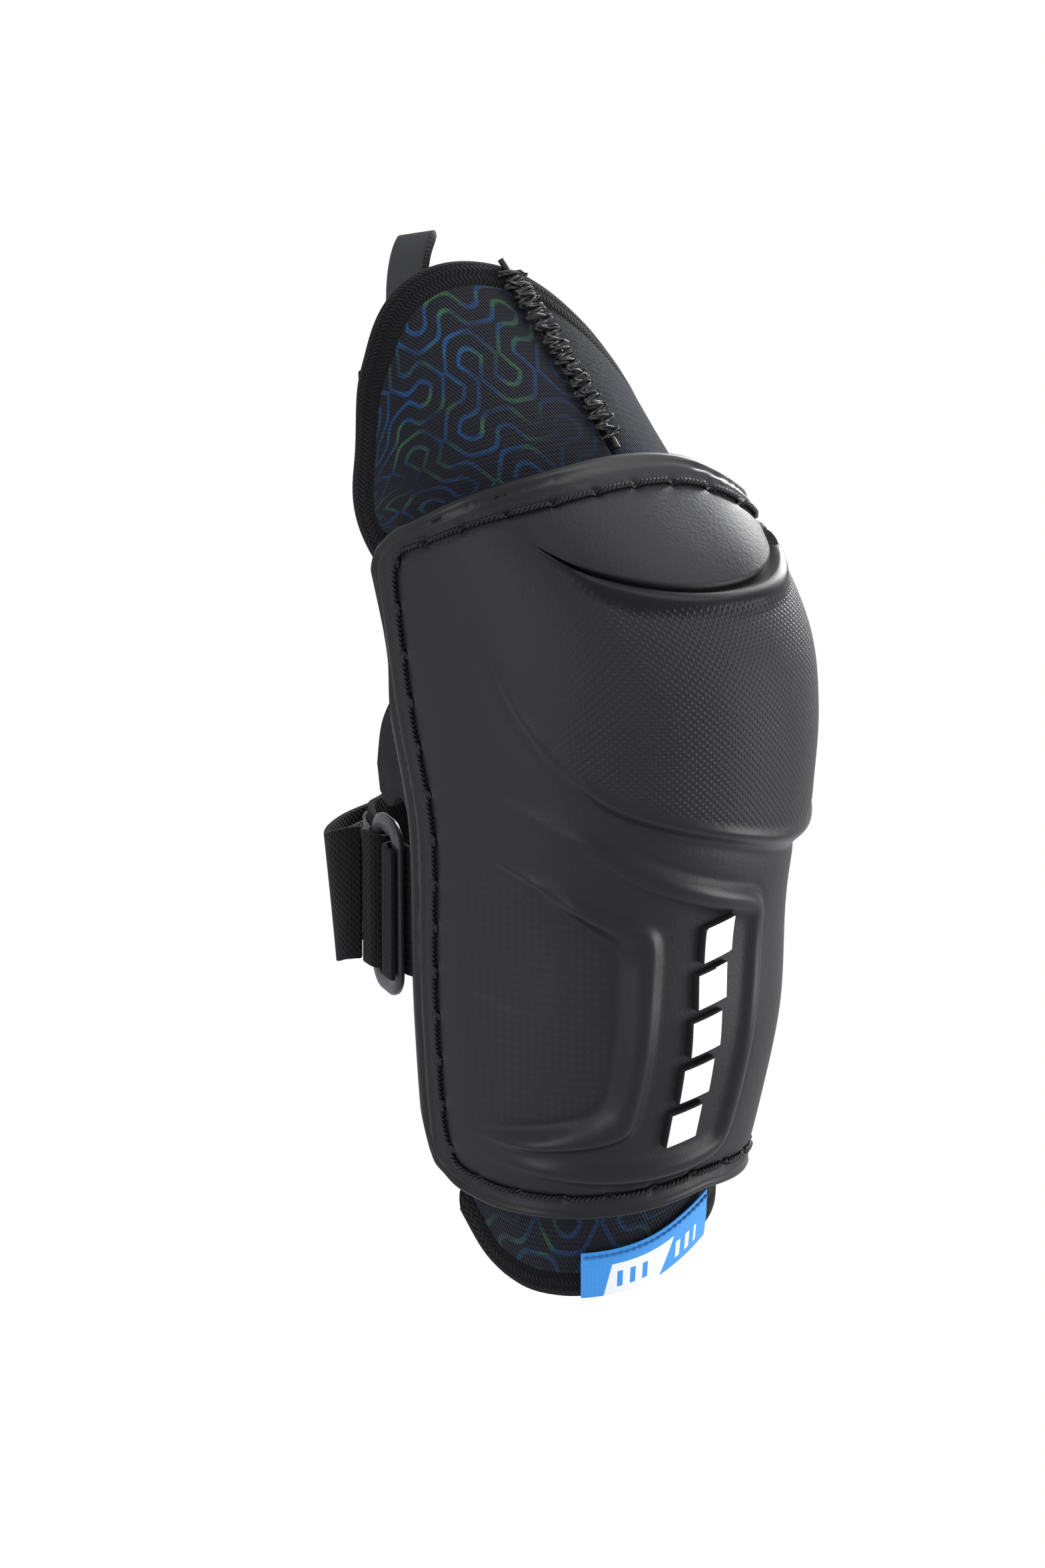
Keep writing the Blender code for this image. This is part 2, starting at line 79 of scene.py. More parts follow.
STRAP_CENTRE_Y = 19.0
STRAP_RUN_RADIUS = 39.2
STRAP_THICKNESS = 1.6
STRAP_MIDDLE_Z = 91.0
STRAP_WIDTH = 34.0
TAB_WIDTH = 33.0
RING_PIVOT = (-37.0, 27.2)
RING_TURN = math.radians(-25)
TAB_WRAP = ((0.2, -2.5), (2.0, -2.5), (4.2, -1.6), (4.8, 0.2), (4.0, 1.9), (2.0, 2.5), (-1.5, 2.5), (-3.0, 2.5))
STRAP_TURN = ((15.0, 2.6), (12.5, 2.5), (10.2, 2.2), (8.8, 1.0), (8.8, -1.0), (10.2, -2.2), (12.5, -2.5),
              (15.4, -2.6))
RUN_START = (16.2, -2.6)
TAIL_START = (17.2, 2.6)
TAIL_PATH = ((-33.6, 47.0), (-32.6, 52.2), (-27, 57.8), (-18, 61.8), (-9, 63.4), (0, 63.6), (9, 62.6))
TAIL_DROOP = 4.5
TAIL_LEAN = (-4.0, 0.5)
BICEP_REACH = 34.8
BICEP_BOW = 22.0
BICEP_UP = np.array((0, 0.6, 0.8))
BICEP_BACK = np.array((0, 0.8, -0.6))
ROUND = 0.85  # mm round the cap for each degree, about
BAND_COLUMNS = 10


def smooth(height, levels, values):
    """A smooth curve through the values given at the levels, flat beyond both ends."""
    levels = np.asarray(levels, float)
    values = np.asarray(values, float)
    height = np.clip(np.asarray(height, float), levels[0], levels[-1])
    slopes = np.gradient(values, levels)
    low = np.clip(np.searchsorted(levels, height, side="right") - 1, 0, len(levels) - 2)
    span = levels[low + 1] - levels[low]
    s = (height - levels[low]) / span
    return ((2 * s**3 - 3 * s**2 + 1) * values[low] + (s**3 - 2 * s**2 + s) * span * slopes[low]
            + (-2 * s**3 + 3 * s**2) * values[low + 1] + (s**3 - s**2) * span * slopes[low + 1])


def ease(value):
    value = np.clip(value, 0, 1)
    return value * value * (3 - 2 * value)


def superellipse(turn, half_width, centre_y, front_y, squareness):
    sine, cosine = np.sin(turn), np.cos(turn)
    reach = (np.abs(sine)**squareness + np.abs(cosine)**squareness)**(-1 / squareness)
    return half_width * sine * reach, centre_y - (centre_y - front_y) * cosine * reach


def cap_surface(angle, height):
    turn = np.radians(np.clip(angle, -90, 90))
    half_width = smooth(height, LEVELS, CAP_HALF_WIDTH) - np.where(
        turn > 0, smooth(height, LEVELS, CAP_RIGHT_SHORTER), 0)
    x, y = superellipse(turn, half_width, smooth(height, LEVELS, CAP_CENTRE_Y),
                        smooth(height, LEVELS, CAP_FRONT_Y), CAP_SQUARENESS)
    past = np.maximum(np.abs(angle) - 90, 0)
    return np.stack([x - np.sign(angle) * WALL_INWARD * past**2, y + WALL_PER_DEGREE * past, height + 0 * x], -1)


def flare_surface(angle, height):
    turn = np.radians(angle)
    half_width = smooth(height, FLARE_LEVELS, FLARE_HALF_WIDTH) - np.where(
        turn > 0, smooth(height, FLARE_LEVELS, FLARE_RIGHT_SHORTER), 0)
    x, y = superellipse(turn, half_width, smooth(height, FLARE_LEVELS, FLARE_CENTRE_Y),
                        smooth(height, FLARE_LEVELS, FLARE_FRONT_Y), FLARE_SQUARENESS)
    return np.stack([x, y, height + 0 * x], -1)


def cuff_surface(angle, height):
    turn = np.radians(np.clip(angle, -90, 90))
    x, y = superellipse(turn, smooth(height, CUFF_LEVELS, CUFF_HALF_WIDTH), 0,
                        smooth(height, CUFF_LEVELS, CUFF_FRONT_Y), FLARE_SQUARENESS)
    past = np.maximum(np.abs(angle) - 90, 0)
    return np.stack([x, y + WALL_PER_DEGREE * past, height + 0 * x], -1)


def outward(surface, angle, height):
    step = 0.05
    across = surface(angle + step, height) - surface(angle - step, height)
    up = surface(angle, height + step) - surface(angle, height - step)
    normal = np.cross(across, up)
    return normal / np.linalg.norm(normal, axis=-1, keepdims=True)


def sunk(surface, angle, height, depth):
    angle, height = np.broadcast_arrays(np.asarray(angle, float), np.asarray(height, float))
    depth = np.broadcast_to(np.asarray(depth, float), angle.shape)
    return surface(angle, height) - depth[..., None] * outward(surface, angle, height)


def cap_edge_angle(height):
    return smooth(height, (22, 86, 119, 145, 166, 182, 208), (124, 124, 119, 123, 120, 116, 112))


def cap_top(angle):
    """The cap's top rim, which falls sooner on the right."""
    return smooth(angle, (-116, -108, -100, -87, -70, -35, 0, 19, 32, 48, 65, 90, 116),
                  (178, 185, 189, 194, 200.5, 207.5, 207.5, 204, 199, 192, 187, 182, 175))


def cap_bottom(angle):
    return smooth(np.abs(angle), (0, 30, 60, 90, 108, 118, 124),
                  (CAP_BOTTOM + 3, CAP_BOTTOM + 1, CAP_BOTTOM, CAP_BOTTOM + 1, CAP_BOTTOM + 4,
                   CAP_BOTTOM + 9, CAP_BOTTOM + 20))


def flare_top(angle):
    return smooth(angle, (-88, -80, -73, -60, -48, -35, -20, -8, 10, 25, 40, 60, 75, 88),
                  (196, 211, 222, 234, 242.5, 248, 250, 248.5, 242, 233, 221, 207, 199, 194))


def cuff_low(angle):
    """The cuff's bottom edge: lowest on the left, and rising to the right."""
    return smooth(angle, (-108, -95, -80, -60, -45, -20, 0, 14, 40, 70, 108),
                  (16, 6, 1.5, 0, 0.5, 3.2, 7.5, 10.5, 13, 15, 22))


# ---- modelling by operators ----
def pick_only(item):
    bpy.ops.object.select_all(action="DESELECT")
    if item is not None:
        item.select_set(True)
        bpy.context.view_layer.objects.active = item


def laid_sheet(name, columns, rows, place, pattern=None):
    """A grid whose points go where place(across, up) says, mm; both run from 0 to 1.

    Its UV map is the cloth's own measure in metres: pattern(across, up) in mm, or the lengths on the sheet.
    """
    pick_only(None)
    bpy.ops.mesh.primitive_grid_add(x_subdivisions=columns, y_subdivisions=rows, size=1)
    item = bpy.context.active_object
    item.name = item.data.name = name
    mesh = item.data
    flat = np.empty(len(mesh.vertices) * 3)
    mesh.vertices.foreach_get("co", flat)
    across, up = flat[0::3] + 0.5, flat[1::3] + 0.5
    mesh.vertices.foreach_set("co", (place(across, up) * MM).ravel())
    if pattern is None:
        line = np.linspace(0, 1, 41)
        width = np.linalg.norm(np.diff(place(line, 0 * line + 0.5), axis=0), axis=1).sum()
        length = np.linalg.norm(np.diff(place(0 * line + 0.5, line), axis=0), axis=1).sum()
        cloth = np.stack([(across - 0.5) * width, up * length], -1)
    else:
        cloth = np.stack(pattern(across, up), -1)
    corner = np.empty(len(mesh.loops), np.int32)
    mesh.loops.foreach_get("vertex_index", corner)
    mesh.uv_layers.active.data.foreach_set("uv", (cloth[corner] * MM).ravel())
    mesh.update()
    return item


def apply_all(item):
    pick_only(item)
    for modifier in list(item.modifiers):
        bpy.ops.object.modifier_apply(modifier=modifier.name)
    return item


def give_wall(item, thickness, edge=0.0, offset=-1.0, segments=2):
    """Thickens a sheet and rounds its edges."""
    solid = item.modifiers.new("wall", "SOLIDIFY")
    solid.thickness = thickness * MM
    solid.offset = offset
    if edge:
        bevel = item.modifiers.new("rounded", "BEVEL")
        bevel.width = edge * MM
        bevel.segments = segments
        bevel.limit_method = "ANGLE"
        bevel.angle_limit = math.radians(50)
    return apply_all(item)


def weld(item, caps=True):
    """Merges the line where a sheet meets itself and closes its ends."""
    mesh = bmesh.new()
    mesh.from_mesh(item.data)
    bmesh.ops.remove_doubles(mesh, verts=mesh.verts, dist=0.00001)
    if caps:
        bmesh.ops.holes_fill(mesh, edges=[edge for edge in mesh.edges if edge.is_boundary], sides=0)
    bmesh.ops.recalc_face_normals(mesh, faces=mesh.faces)
    mesh.to_mesh(item.data)
    mesh.free()
    return item


def resample(points, spacing=None, count=None):
    points = np.asarray(points, float)
    steps = np.linalg.norm(np.diff(points, axis=0), axis=1)
    along = np.concatenate([[0], np.cumsum(steps)])
    count = count or max(2, int(round(along[-1] / spacing)) + 1)
    wanted = np.linspace(0, along[-1], count)
    return np.stack([np.interp(wanted, along, points[:, k]) for k in range(points.shape[1])], -1)


def flowing(points, spacing=1.3):
    """Points along a smooth curve through the given ones (Catmull-Rom)."""
    points = [np.asarray(p, float) for p in points]
    knots = [points[0] * 2 - points[1], *points, points[-1] * 2 - points[-2]]
    route = []
    for a, b, c, d in zip(knots, knots[1:], knots[2:], knots[3:]):
        steps = max(2, round(float(np.linalg.norm(c - b)) / spacing))
        for t in np.arange(steps) / steps:
            route.append((b * 2 + (c - a) * t + (a * 2 - b * 5 + c * 4 - d) * t**2
                          + (b * 3 - a - c * 3 + d) * t**3) / 2)
    return np.array(route + [knots[-2]])


def carried_frames(path):
    """Two cross directions at each point of a path, carried along it without twist."""
    ahead = np.gradient(np.asarray(path, float), axis=0)
    ahead /= np.linalg.norm(ahead, axis=1, keepdims=True)
    side = np.zeros_like(ahead)
    first = np.cross(ahead[0], (0.0, 0.0, 1.0))
    if np.linalg.norm(first) < 0.1:
        first = np.cross(ahead[0], (1.0, 0.0, 0.0))
    side[0] = first / np.linalg.norm(first)
    for k in range(1, len(ahead)):
        step = side[k - 1] - ahead[k] * side[k - 1].dot(ahead[k])
        side[k] = step / np.linalg.norm(step)
    return side, np.cross(ahead, side)


def ring_of(path, side, lift, share_along, around, half_wide, half_thick, power=1.0):
    """Points on a roll's skin: across its section by around, along its path by share_along."""
    count = len(path) - 1
    index = np.clip(np.rint(share_along * count).astype(int), 0, count)
    turn = around * 2 * np.pi
    c, s = np.cos(turn), np.sin(turn)
    c, s = np.sign(c) * np.abs(c)**power, np.sign(s) * np.abs(s)**power
    wide = np.broadcast_to(half_wide, (count + 1,))[index]
    thick = np.broadcast_to(half_thick, (count + 1,))[index]
    return path[index] + side[index] * (c * wide)[:, None] + lift[index] * (s * thick)[:, None]


def roll(name, path, side, lift, half_wide, half_thick, sides=16, power=1.0, closed=False):
    """A closed roll with an oval section along a path."""
    path = np.asarray(path, float)
    if closed:
        path, side, lift = (np.concatenate([a, a[:1]]) for a in (path, side, lift))
    length = np.linalg.norm(np.diff(path, axis=0), axis=1).sum()
    girth = math.pi * (np.mean(half_wide) + np.mean(half_thick))
    item = laid_sheet(name, sides, len(path) - 1,
                      lambda a, b: ring_of(path, side, lift, b, a, half_wide, half_thick, power),
                      lambda a, b: (a * girth, b * length))
    return weld(item, caps=not closed)


def cord_piece(name, path, radius, sides):
    side, lift = carried_frames(path)
    return roll(name, path, side, lift, radius, radius, sides)


def band(name, path, widths, thickness, edge=0.35):
    """A strap: it follows a path, with a width vector at each point."""
    path = np.asarray(path, float)
    widths = np.broadcast_to(np.asarray(widths, float), path.shape)
    count = len(path) - 1

    def place(across, up):
        index = np.clip(np.rint(up * count).astype(int), 0, count)
        return path[index] + widths[index] * (across - 0.5)[:, None]

    return give_wall(laid_sheet(name, BAND_COLUMNS, count, place), thickness, edge, offset=0.0)


def joined(name, items):
    pick_only(items[0])
    for item in items[1:]:
        item.select_set(True)
    bpy.ops.object.join()
    items[0].name = items[0].data.name = name
    return items[0]


def settle(item, body, slot, material, *nodes, sharp=40, fill=None):
    """Gives a finished piece its place in the frame, its finish and its smooth shading."""
    pick_only(item)
    bpy.ops.object.shade_smooth_by_angle(angle=math.radians(sharp))
    if material is not None:
        item.data.materials.clear()
        item.data.materials.append(material)
    if body is not None:
        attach(item, body)
    if nodes:
        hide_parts(*nodes)
    return item


# ---- finishes ----
class Finish:
    """A material being wired up."""

    def __init__(self, name, colour, roughness, **sockets):
        self.material = bpy.data.materials.new(name)
        self.material.use_nodes = True
        self.tree = self.material.node_tree
        self.shader = self.tree.nodes["Principled BSDF"]
        self.shader.inputs["Base Color"].default_value = (*colour, 1.0)
        self.shader.inputs["Roughness"].default_value = roughness
        for key, value in sockets.items():
            self.shader.inputs[key.replace("_", " ")].default_value = value

    def feed(self, socket, value):
        if isinstance(value, bpy.types.NodeSocket):
            self.tree.links.new(value, socket)
        else:
            socket.default_value = value

    def node(self, kind, settings, inputs, output=0):
        made = self.tree.nodes.new(kind)
        for key, value in settings.items():
            setattr(made, key, value)
        for key, value in inputs.items():
            self.feed(made.inputs[key], value)
        return made.outputs[output]

    def calc(self, operation, *values, clamp=False):
        return self.node("ShaderNodeMath", {"operation": operation, "use_clamp": clamp}, dict(enumerate(values)))

    def vector(self, operation, *values):
        return self.node("ShaderNodeVectorMath", {"operation": operation}, dict(enumerate(values)))

    def scaled(self, value, factor, more):
        return self.calc("MULTIPLY_ADD", value, factor, more)

    def times(self, one, other):
        return self.calc("MULTIPLY", one, other)

    def plus(self, one, other):
        return self.calc("ADD", one, other)

    def minus(self, one, other):
        return self.calc("SUBTRACT", one, other)

    def size(self, value):
        return self.calc("ABSOLUTE", value)

    def under(self, value, limit):
        return self.calc("LESS_THAN", value, limit)

    def over(self, value, limit):
        return self.calc("GREATER_THAN", value, limit)

    def cloth(self):
        return self.node("ShaderNodeUVMap", {"uv_map": "UVMap"}, {})

    def place(self):
        return self.node("ShaderNodeTexCoord", {}, {}, "Object")

    def parts(self, vector):
        made = self.tree.nodes.new("ShaderNodeSeparateXYZ")
        self.feed(made.inputs[0], vector)
        return made.outputs[0], made.outputs[1], made.outputs[2]

    def mask(self, name):
        return self.node("ShaderNodeAttribute", {"attribute_name": name}, {}, "Fac")

    def noise(self, vector, scale, detail=2.0, roughness=0.5):
        return self.node("ShaderNodeTexNoise", {}, {"Vector": vector, "Scale": scale, "Detail": detail,
                                                    "Roughness": roughness})

    def shade(self, factor, low, high):
        ends = [(*end, 1.0) if isinstance(end, tuple) else end for end in (low, high)]
        return self.node("ShaderNodeMix", {"data_type": "RGBA"}, {0: factor, 6: ends[0], 7: ends[1]}, 2)

    def between(self, factor, low, high, start=0.0, end=1.0):
        return self.node("ShaderNodeMapRange", {}, {"Value": factor, "From Min": start, "From Max": end,
                                                    "To Min": low, "To Max": high})

    def bump(self, height, distance):
        normal = self.node("ShaderNodeBump", {}, {"Height": height, "Distance": distance, "Strength": 1.0})
        self.feed(self.shader.inputs["Normal"], normal)

    def colour(self, value):
        self.feed(self.shader.inputs["Base Color"], value)

    def rough(self, value):
        self.feed(self.shader.inputs["Roughness"], value)

    def ridge(self, value, pitch):
        """A wave from 0 to 1 that repeats every pitch metres of value."""
        return self.scaled(self.calc("SINE", self.times(value, 2 * math.pi / pitch)), 0.5, 0.5)


def moulded_finish():
    """Charcoal moulding: pebbled skin, raised dots on the dome, woven panel, glossier ridges; painted shade darkens
    the glossy parts and the crescent's scoop.
    """
    f = Finish("moulded_charcoal", (0.020, 0.020, 0.021), 0.5, Specular_IOR_Level=0.27)
    spot, cloth = f.place(), f.cloth()
    gloss, dots, weave = f.mask("gloss"), f.mask("dots"), f.mask("weave")
    grain = f.noise(spot, 1150, 3.0, 0.55)
    fine = f.noise(spot, 3600, 2.0)
    broad = f.noise(spot, 45, 3.0)
    turned = f.node("ShaderNodeMapping", {}, {"Vector": cloth, "Rotation": (0, 0, math.radians(45)),
                                             "Scale": (1, 1, 1)})
    dot = f.node("ShaderNodeTexVoronoi", {"voronoi_dimensions": "2D"},
                 {"Vector": turned, "Scale": 790.0, "Randomness": 0.0})
    dot = f.times(f.between(dot, 1.0, 0.0, 0.12, 0.44), dots)
    x, y, _ = f.parts(cloth)
    strand = f.times(f.ridge(x, 0.0021), f.ridge(y, 0.0021))
    strand = f.times(f.over(strand, 0.25), weave)
    plain = f.minus(1.0, f.calc("MAXIMUM", gloss, f.times(dots, 0.6)))
    height = f.times(f.scaled(fine, 0.25, grain), f.scaled(plain, 0.10, 0.012))
    height = f.scaled(dot, 0.20, height)
    height = f.scaled(strand, 0.05, height)
    f.bump(height, 0.001)
    tone = f.scaled(dot, 0.30, f.scaled(strand, 0.25, f.times(broad, 0.5)))
    # painted shade: glossy ridges, rim bead and crescent get a darker colour, standing in for the dark surroundings
    # they reflect
    tone = f.scaled(gloss, -0.35, tone)
    # painted shade: the crescent's scoop under the brow's overhang is darkened further in colour
    tone = f.scaled(f.mask("scoop"), -0.45, tone)
    f.colour(f.shade(tone, (0.0080, 0.0080, 0.0086), (0.0175, 0.0175, 0.019)))
    f.rough(f.plus(f.between(gloss, 0.50, 0.31), f.times(broad, 0.09)))
    f.feed(f.shader.inputs["Specular IOR Level"], f.between(f.mask("scoop"), 0.27, 0.12))
    return f.material


def thread_finish(name, colour):
    f = Finish(name, colour, 0.5, Specular_IOR_Level=0.35)
    f.bump(f.noise(f.place(), 2600, 3.0), 0.0002)
    return f.material


def white_finish():
    f = Finish("white_ink", (0.82, 0.83, 0.84), 0.42)
    broad = f.noise(f.place(), 900, 3.0)
    f.colour(f.shade(broad, (0.74, 0.75, 0.76), (0.86, 0.87, 0.88)))
    f.bump(broad, 0.00006)
    return f.material


def knit_finish(name, rib=0.0011, slant=0.9, dark=(0.0020, 0.0020, 0.0024), light=(0.0085, 0.0083, 0.0095),
                depth=0.00035):
    """Knitted elastic: rows of little chevrons along its length."""
    f = Finish(name, dark, 0.88, Sheen_Weight=0.04, Specular_IOR_Level=0.12)
    x, y, _ = f.parts(f.cloth())
    zig = f.calc("PINGPONG", x, 0.0009)
    row = f.ridge(f.scaled(zig, slant, y), rib)
    wale = f.ridge(x, 0.0018)
    fuzz = f.noise(f.place(), 2400, 3.0)
    height = f.scaled(wale, 0.45, f.scaled(fuzz, 0.35, row))
    f.bump(height, depth)
    f.colour(f.shade(f.times(height, 0.55), dark, light))
    return f.material


def strap_finish(name, dark=(0.0018, 0.0018, 0.0019), light=(0.0070, 0.0070, 0.0073)):
    """Strap elastic: small diamonds."""
    f = Finish(name, dark, 0.86, Sheen_Weight=0.04, Specular_IOR_Level=0.12)
    x, y, _ = f.parts(f.cloth())
    one = f.ridge(f.plus(x, y), 0.0017)
    two = f.ridge(f.minus(x, y), 0.0017)
    fuzz = f.noise(f.place(), 2600, 3.0)
    height = f.scaled(fuzz, 0.3, f.calc("MAXIMUM", one, two))
    f.bump(height, 0.00030)
    f.colour(f.shade(f.times(height, 0.6), dark, light))
    return f.material


def plain_cloth_finish(name, dark, light, pitch=0.0008, depth=0.00018):
    f = Finish(name, dark, 0.9, Sheen_Weight=0.05, Specular_IOR_Level=0.12)
    x, y, _ = f.parts(f.cloth())
    twill = f.ridge(f.scaled(y, 0.6, x), pitch)
    fuzz = f.noise(f.place(), 2100, 3.0)
    height = f.scaled(fuzz, 0.6, twill)
    f.bump(height, depth)
    f.colour(f.shade(f.times(height, 0.6), dark, light))
    return f.material


PRINT_PITCH = 0.0165


def printed_finish():
    """Dark navy twill with a labyrinth of doubled, rounded six-sided lines in blue and green."""
    f = Finish("printed_twill", (0.006, 0.009, 0.018), 0.88, Sheen_Weight=0.05, Specular_IOR_Level=0.25)
    cloth = f.cloth()
    cell = 1 / PRINT_PITCH
    root = math.sqrt(3)
    q = f.node("ShaderNodeVectorMath", {"operation": "MULTIPLY_ADD"},
               {0: cloth, 1: (cell, cell, 0), 2: (20.0, 20 * root + 0.3, 0)})

    def wrapped(vector):
        left = f.vector("MODULO", vector, (1, root, 1))
        return f.vector("SUBTRACT", left, (0.5, root / 2, 0))

    one = wrapped(q)
    two = wrapped(f.vector("ADD", q, (0.5, root / 2, 0)))
    far = [f.node("ShaderNodeVectorMath", {"operation": "LENGTH"}, {0: v}, "Value") for v in (one, two)]
    nearer = f.under(far[0], far[1])
    local = f.node("ShaderNodeMix", {"data_type": "VECTOR"}, {0: nearer, 4: two, 5: one}, 1)
    home = f.vector("SUBTRACT", q, local)
    snapped = f.vector("SNAP", home, (0.25, 0.25, 0.25))
    chance = f.node("ShaderNodeTexWhiteNoise", {"noise_dimensions": "3D"}, {"Vector": snapped}, "Value")
    home_x, home_y, _ = f.parts(home)
    colour = f.calc("FLOORED_MODULO", f.plus(f.scaled(home_y, -root, home_x), 0.5), 3.0)
    third = f.times(f.over(colour, 2.0), f.under(chance, 0.5))
    plus = f.plus(f.under(colour, 1.0), third)
    way = f.scaled(plus, 2.0, -1.0)
    tile = f.node("ShaderNodeVectorMath", {"operation": "SCALE"}, {0: local, "Scale": way})
    line = None
    for corner in ((0.0, 1 / root, 0), (0.5, -0.5 / root, 0), (-0.5, -0.5 / root, 0)):
        off = f.vector("SUBTRACT", tile, corner)
        x, y, _ = f.parts(f.node("ShaderNodeVectorMath", {"operation": "ABSOLUTE"}, {0: off}))
        six = f.calc("SMOOTH_MAX", y, f.scaled(x, root / 2, f.times(y, 0.5)), 0.18)
        far = f.size(f.minus(f.size(f.minus(six, 0.5 / root + 0.006)), 0.112))
        line = far if line is None else f.calc("MINIMUM", line, far)
    line = f.between(line, 1.0, 0.0, 0.020, 0.040)
    broad = f.noise(cloth, 55, 2.0)
    hue = f.noise(cloth, 90, 1.0)
    bright = f.between(broad, 0.15, 1.0, 0.36, 0.56)
    px, _, pz = f.parts(f.place())
    bright = f.times(bright, f.between(px, 1.0, 0.12, -0.026, 0.004))
    bright = f.times(bright, f.between(pz, 0.45, 1.0, 0.202, 0.232))
    twill_x, twill_y, _ = f.parts(cloth)
    twill = f.ridge(f.scaled(twill_y, 0.55, twill_x), 0.0009)
    cross = f.ridge(twill_y, 0.0011)
    weave = f.scaled(cross, 0.5, twill)
    blue_green = f.shade(f.between(hue, 0.0, 1.0, 0.50, 0.60), (0.008, 0.068, 0.20), (0.045, 0.165, 0.065))
    ground = f.shade(f.times(weave, 0.55), (0.0018, 0.0024, 0.005), (0.0085, 0.0102, 0.018))
    amount = f.times(f.times(line, bright), f.between(weave, 0.45, 0.9, 0.0, 1.2))
    f.colour(f.shade(amount, ground, blue_green))
    f.bump(f.scaled(f.noise(f.place(), 2200, 2.0), 0.4, weave), 0.00026)
    return f.material


def label_finish():
    """Blue woven label with a white panel and plain upright dashes."""
    f = Finish("label_weave", (0.03, 0.27, 0.68), 0.6)
    x, y, _ = f.parts(f.cloth())
    lean = f.scaled(y, -0.25, x)
    left = f.over(lean, -0.0135)
    right = f.under(f.scaled(y, -0.5, x), 0.0020)
    low = f.under(y, 0.0082)
    panel = f.times(f.times(left, right), low)
    tall = f.under(f.size(f.minus(y, 0.0040)), 0.0021)
    dash = f.over(f.calc("SINE", f.times(x, 2 * math.pi / 0.0034)), 0.2)
    wide = f.under(f.size(f.plus(x, 0.0053)), 0.0052)
    beyond = f.under(f.size(f.minus(x, 0.0100)), 0.0045)
    marks = f.times(f.times(tall, dash), f.calc("MAXIMUM", wide, beyond))
    panel = f.size(f.minus(panel, marks))
    rib = f.scaled(f.ridge(x, 0.0005), 0.5, f.times(f.ridge(y, 0.0005), 0.5))
    f.colour(f.shade(panel, f.shade(rib, (0.02, 0.20, 0.56), (0.05, 0.34, 0.80)),
                     f.shade(rib, (0.70, 0.73, 0.78), (0.90, 0.92, 0.95))))
    f.bump(rib, 0.00007)
    return f.material


def foam_finish():
    f = Finish("closed_cell_foam", (0.06, 0.06, 0.065), 0.92)
    cells = f.node("ShaderNodeTexVoronoi", {}, {"Vector": f.place(), "Scale": 1300.0})
    f.colour(f.shade(cells, (0.05, 0.05, 0.055), (0.12, 0.12, 0.13)))
    f.bump(cells, 0.0003)
    return f.material


def hook_finish():
    f = Finish("hook_and_loop", (0.010, 0.010, 0.011), 0.95, Sheen_Weight=0.5)
    loops = f.node("ShaderNodeTexVoronoi", {}, {"Vector": f.place(), "Scale": 1500.0, "Randomness": 0.8})
    f.colour(f.shade(loops, (0.008, 0.008, 0.009), (0.035, 0.035, 0.038)))
    f.bump(loops, 0.0006)
    return f.material


def ring_finish():
    f = Finish("ring_moulding", (0.022, 0.022, 0.024), 0.34)
    grain = f.noise(f.place(), 1500, 2.0)
    f.rough(f.between(grain, 0.28, 0.44))
    f.bump(grain, 0.00003)
    return f.material


MOULDED = moulded_finish()
LACING = thread_finish("bonded_thread", (0.0030, 0.0030, 0.0034))
BLUE_THREAD = thread_finish("blue_thread", (0.02, 0.16, 0.42))
WHITE = white_finish()
BINDING = knit_finish("binding_knit")
STRAP = strap_finish("strap_elastic")
WEBBING = knit_finish("tab_webbing", rib=0.0015, slant=0.0)
LINING = plain_cloth_finish("brushed_liner", (0.016, 0.017, 0.019), (0.045, 0.046, 0.050), 0.0012, 0.0003)
WING_CLOTH = plain_cloth_finish("side_cloth", (0.005, 0.005, 0.006), (0.016, 0.0165, 0.018))
GREY_TAPE = plain_cloth_finish("grey_tape", (0.016, 0.0165, 0.018), (0.045, 0.046, 0.049), 0.0006, 0.0001)
PRINTED = printed_finish()
LABEL = label_finish()
FOAM = foam_finish()
HOOK = hook_finish()
RING = ring_finish()

# ---- the moulded cap ----
LACE_INSET = 5.8
STITCH_LENGTH = 11.6
TWIST_LENGTH = 2.4
PLY_RADIUS = 0.50
PLY_SWING = 0.36
HOLE_DEPTH = 1.1
HOLE_SPREAD = 1.3
BEAD_RADIUS = 1.1
SECOND_BEAD = 2.9
PANEL_DEPTH = 1.3
STROKE_HEIGHT = 2.0
RIM_PER_DEGREE = 0.36  # the rim is wider on the cap's walls
RIDGE_TOP = ((-76, 184), (-74, 175), (-71, 163), (-67, 154), (-61, 145.5), (-51, 137.5), (-36, 131), (-9, 124),
             (11, 120), (34, 119), (52, 124), (66, 136), (76, 152), (80, 170))
RIDGE_LOW = ((-76, 181), (-74, 165), (-70, 150), (-63, 140.2), (-56, 133.8), (-51, 130), (-41, 126), (-16, 119.5),
             (16, 111.5), (36, 110), (55, 115), (70, 128), (79, 146), (81, 166))
OUTER_STROKE = ((-86, 131.8), (-72, 129.2), (-57, 124.8), (-34, 114.2), (-14, 107.8), (0, 104.2), (6, 101.8),
                (8.6, 98), (8.8, 86), (6.8, 66), (5.6, 46), (3.6, 39), (-3, 35.8), (-20, 34), (-45, 33.8),
                (-70, 35.4), (-95, 38))
BRACKET_OUT = ((-92, 120), (-71, 113.3), (-49, 106), (-38, 103.3), (-31.5, 100), (-29.5, 95), (-30, 83), (-32, 62),
               (-33.5, 48.5), (-37, 44), (-45, 42), (-58, 40.6), (-74, 40), (-102, 42.5))
PANEL_EDGE = ((-94, 119), (-84, 115), (-69, 109), (-57, 102), (-46, 95.8), (-42.5, 92.5), (-42.6, 84), (-43, 73),
              (-44.5, 57), (-47, 51.8), (-52, 49.5), (-64, 46.7), (-80, 44.6), (-102, 43.2))


def unrolled(line):
    return flowing([(a * ROUND, z) for a, z in line], 3.0)


